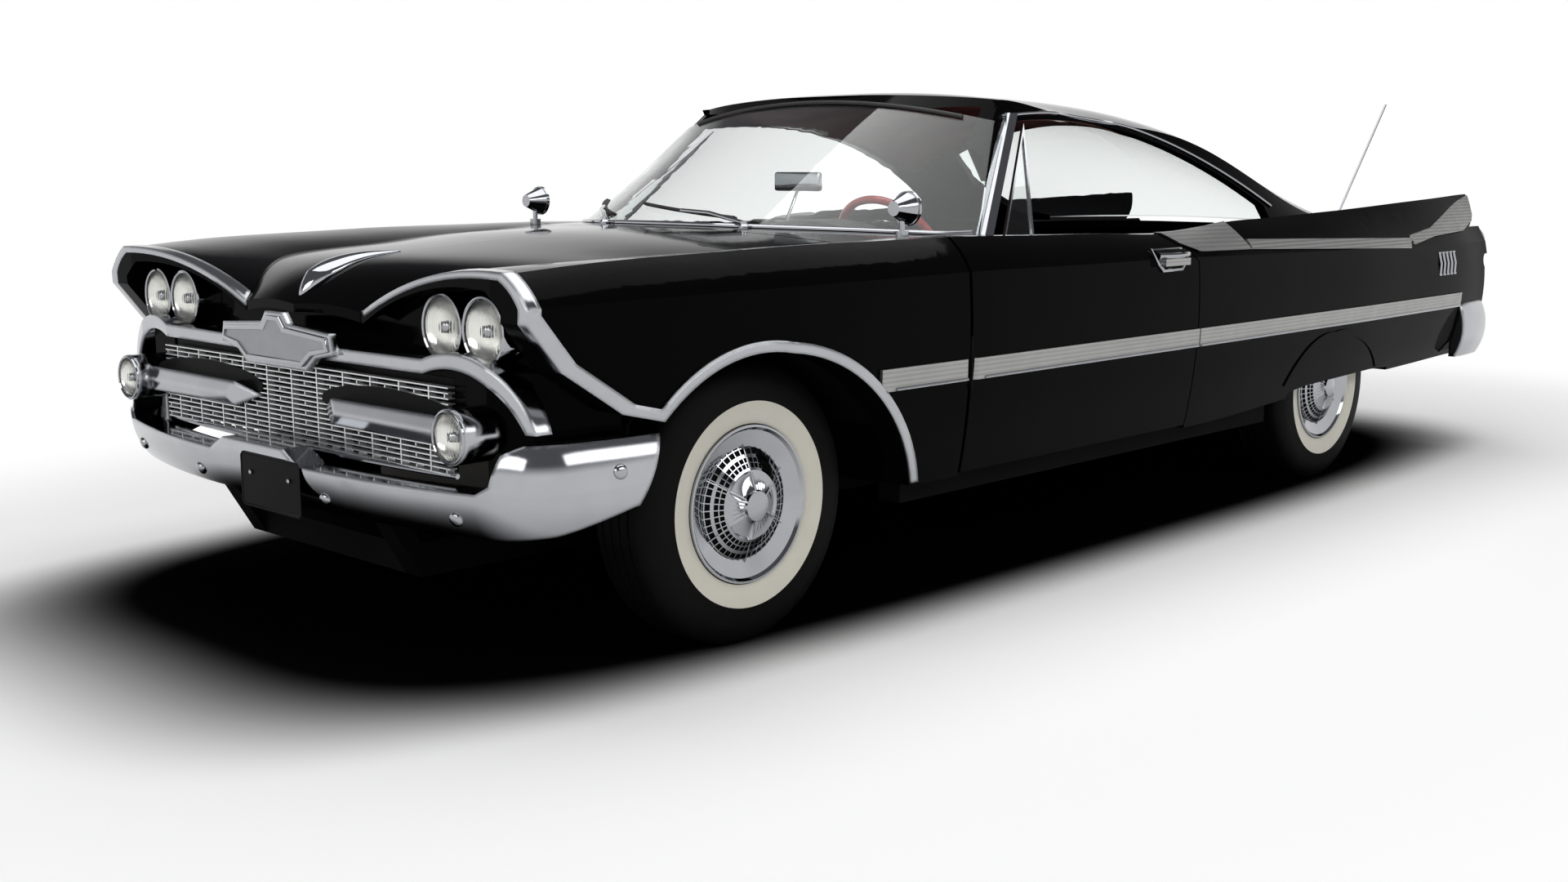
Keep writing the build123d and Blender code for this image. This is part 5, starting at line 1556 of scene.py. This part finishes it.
@dataclass
class Studio:
    """Pale floor, soft light and the camera at the photograph's angle."""

    eye: Point = (3.693, y_of(-2.832), 1.171)
    yaw: float = math.radians(43.73)
    pitch: float = math.radians(9.338)
    focal_share: float = 2030.4 / 1920
    sensor: float = 36.0
    floor_size: float = 80.0
    floor_near: float = 3.1
    floor_far: float = 5.6
    floor_narrow: float = 1.6
    # Painted shadow: a dark patch in the floor's colour under the car, a rounded box with half sizes, centre,
    # edge softness, roundness and colour.
    painted_shadow: Flat = (1.18, 3.10)
    painted_shadow_centre: Flat = (-0.14, -0.12)
    painted_shadow_edge: Flat = (0.84, 1.10)
    painted_shadow_power: float = 4.0
    painted_shadow_colour: Colour = (0.002, 0.002, 0.002)
    floor_colour: Colour = (0.90, 0.90, 0.90)
    floor_roughness: float = 0.6
    sky: Tuple[Tuple[float, Colour], ...] = ((0.22, (1.0, 1.0, 1.0)), (0.42, (0.14, 0.14, 0.15)))
    fill: float = 0.22
    lamps: Tuple[SoftLamp, ...] = (
        SoftLamp("overhead", (0.0, 0.0, 5.2), (0.0, 0.0, 0.0), (5.0, 8.0), 300.0),
        SoftLamp("side", (6.5, 0.5, 4.0), (0.0, 0.3, 0.6), (7.0, 1.6), 120.0),
        SoftLamp("front", (1.5, -7.5, 3.4), (0.0, -1.0, 0.6), (5.0, 1.6), 110.0),
    )

    def build(self) -> None:
        """Builds camera, world, floor and lamps."""
        self._camera()
        self._world()
        self._floor()
        self._lamps()

    def _camera(self) -> None:
        """Places the camera."""
        data = bpy.data.cameras.new("camera")
        data.sensor_width = self.sensor
        data.lens = self.sensor * self.focal_share
        data.clip_end = 200.0
        camera = add_object("camera", data)
        look = Vector((
            -math.sin(self.yaw) * math.cos(self.pitch),
            math.cos(self.yaw) * math.cos(self.pitch),
            -math.sin(self.pitch),
        ))
        camera.matrix_world = Matrix.Translation(self.eye) @ facing(look, "-Z")
        bpy.context.scene.camera = camera

    def _world(self) -> None:
        """Sets a surround that is white at the horizon and darker overhead."""
        world = bpy.data.worlds.new("studio")
        bpy.context.scene.world = world
        world.use_nodes = True
        graph = Graph(world.node_tree)
        height = graph.add("ShaderNodeSeparateXYZ", graph.add("ShaderNodeTexCoord").outputs["Generated"])
        ramp = graph.add("ShaderNodeValToRGB", Fac=height.outputs["Z"])
        for stop, (position, shade) in zip(ramp.color_ramp.elements, self.sky):
            stop.position = position
            stop.color = (*shade, 1.0)
        mix = graph.add("ShaderNodeMix", data_type="RGBA", A=(self.fill, self.fill, self.fill, 1.0),
                        B=ramp.outputs["Color"], Factor=self._seen(graph))
        graph.feed(world.node_tree.nodes["Background"].inputs["Color"], mix.outputs["Result"])

    def _seen(self, graph: Graph) -> Socket:
        """Returns a mask that is 1 for what the camera, gloss and glass see."""
        rays = graph.add("ShaderNodeLightPath").outputs
        mask = rays["Is Camera Ray"]
        for name in ("Is Glossy Ray", "Is Transmission Ray"):
            mask = graph.add("ShaderNodeMath", mask, rays[name], operation="MAXIMUM").outputs["Value"]
        return mask

    def _floor(self) -> None:
        """Lays a pale floor that keeps the shadow, adds a painted shadow under the car, fades to white
        further out and isn't seen from below.
        """
        mesh = bmesh.new()
        bmesh.ops.create_grid(mesh, x_segments=1, y_segments=1, size=self.floor_size / 2)
        data = bpy.data.meshes.new("floor")
        mesh.to_mesh(data)
        mesh.free()
        material = bpy.data.materials.new("pale_floor")
        material.use_nodes = True
        graph = Graph(material.node_tree)
        place = graph.add("ShaderNodeTexCoord").outputs["Object"]
        # Painted shadow: the floor's colour goes near black under the car.
        colour = graph.add("ShaderNodeMix", data_type="RGBA", A=(*self.painted_shadow_colour, 1.0),
                           B=(*self.floor_colour, 1.0), Factor=self._painted_shadow(graph, place))
        shader = material.node_tree.nodes["Principled BSDF"]
        graph.feed(shader.inputs["Base Color"], colour.outputs["Result"])
        graph.feed(shader.inputs["Roughness"], self.floor_roughness)
        graph.feed(shader.inputs["Specular IOR Level"], 0.0)
        narrow = (self.floor_narrow, 1.0, 1.0)
        stretch = graph.add("ShaderNodeVectorMath", place, narrow, operation="MULTIPLY")
        length = graph.add("ShaderNodeVectorMath", stretch.outputs["Vector"], operation="LENGTH")
        fade = graph.add("ShaderNodeMapRange", interpolation_type="SMOOTHSTEP", Value=length.outputs["Value"],
                         From_Min=self.floor_near, From_Max=self.floor_far)
        white = graph.add("ShaderNodeEmission", Strength=self._seen(graph))
        blend = graph.add("ShaderNodeMixShader", fade.outputs["Result"], shader.outputs["BSDF"],
                          white.outputs["Emission"])
        back = graph.add("ShaderNodeNewGeometry").outputs["Backfacing"]
        clear = graph.add("ShaderNodeBsdfTransparent").outputs["BSDF"]
        below = graph.add("ShaderNodeMixShader", back, blend.outputs["Shader"], clear)
        graph.feed(material.node_tree.nodes["Material Output"].inputs["Surface"], below.outputs["Shader"])
        data.materials.append(material)
        floor = add_object("floor", data)

    def _painted_shadow(self, graph: Graph, place: Socket) -> Socket:
        """Adds the mask of the painted shadow that the car stands on.

        Args:
            graph: The floor's graph.
            place: Its coordinates.

        Returns:
            A value from 0 under the car to 1 outside the painted shadow.
        """
        split = graph.add("ShaderNodeSeparateXYZ", place)
        powers = []
        for axis, half, centre in zip("XY", self.painted_shadow, self.painted_shadow_centre):
            share = graph.add("ShaderNodeMath", split.outputs[axis], 1.0 / half, -centre / half,
                              operation="MULTIPLY_ADD")
            size = graph.add("ShaderNodeMath", share.outputs["Value"], operation="ABSOLUTE")
            power = graph.add("ShaderNodeMath", size.outputs["Value"], self.painted_shadow_power, operation="POWER")
            powers.append(power.outputs["Value"])
        total = graph.add("ShaderNodeMath", *powers, operation="ADD")
        root = graph.add("ShaderNodeMath", total.outputs["Value"], 1.0 / self.painted_shadow_power, operation="POWER")
        mask = graph.add("ShaderNodeMapRange", interpolation_type="SMOOTHSTEP", Value=root.outputs["Value"],
                         From_Min=self.painted_shadow_edge[0], From_Max=self.painted_shadow_edge[1])
        return mask.outputs["Result"]

    def _lamps(self) -> None:
        """Hangs the soft lamps over and beside the car."""
        for lamp in self.lamps:
            data = bpy.data.lights.new(lamp.name, "AREA")
            data.shape = "RECTANGLE"
            data.size, data.size_y = lamp.size
            data.energy = lamp.power
            aim = Vector(lamp.target) - Vector(lamp.place)
            add_object(lamp.name, data).matrix_world = Matrix.Translation(lamp.place) @ facing(aim, "-Z")


def main() -> None:
    """Builds the scene in order."""
    logging.basicConfig(level=logging.INFO, format="%(name)s: %(message)s")
    bpy.context.scene.view_settings.view_transform = "Standard"
    dress_cad_nodes()
    Studio().build()
    for corner, x, station, side in (
        ("front_left", 0.7735, 0.0, Side.LEFT),
        ("front_right", -0.7735, 0.0, Side.RIGHT),
        ("rear_left", 0.7595, WHEELBASE, Side.LEFT),
        ("rear_right", -0.7595, WHEELBASE, Side.RIGHT),
    ):
        RoadWheel(corner, x, station, side).build()
    FrontLamps().build()
    Grille().build()
    NoseTrim().build()
    FrontBumperTrim().build()
    Greenhouse().build()
    SideTrim().build()
    FenderMirrors().build()
    TailLamps().build()
    SteeringWheel().build()
    Bench("front_bench", "front_seat", 1.420, 2.060, 0.690, 0.610, 0.900).build()
    Bench("rear_bench", "rear_seat", 2.160, 2.570, 0.660, 0.600, 0.880).build()
    Cabin().build()


if __name__ == "__main__":
    main()
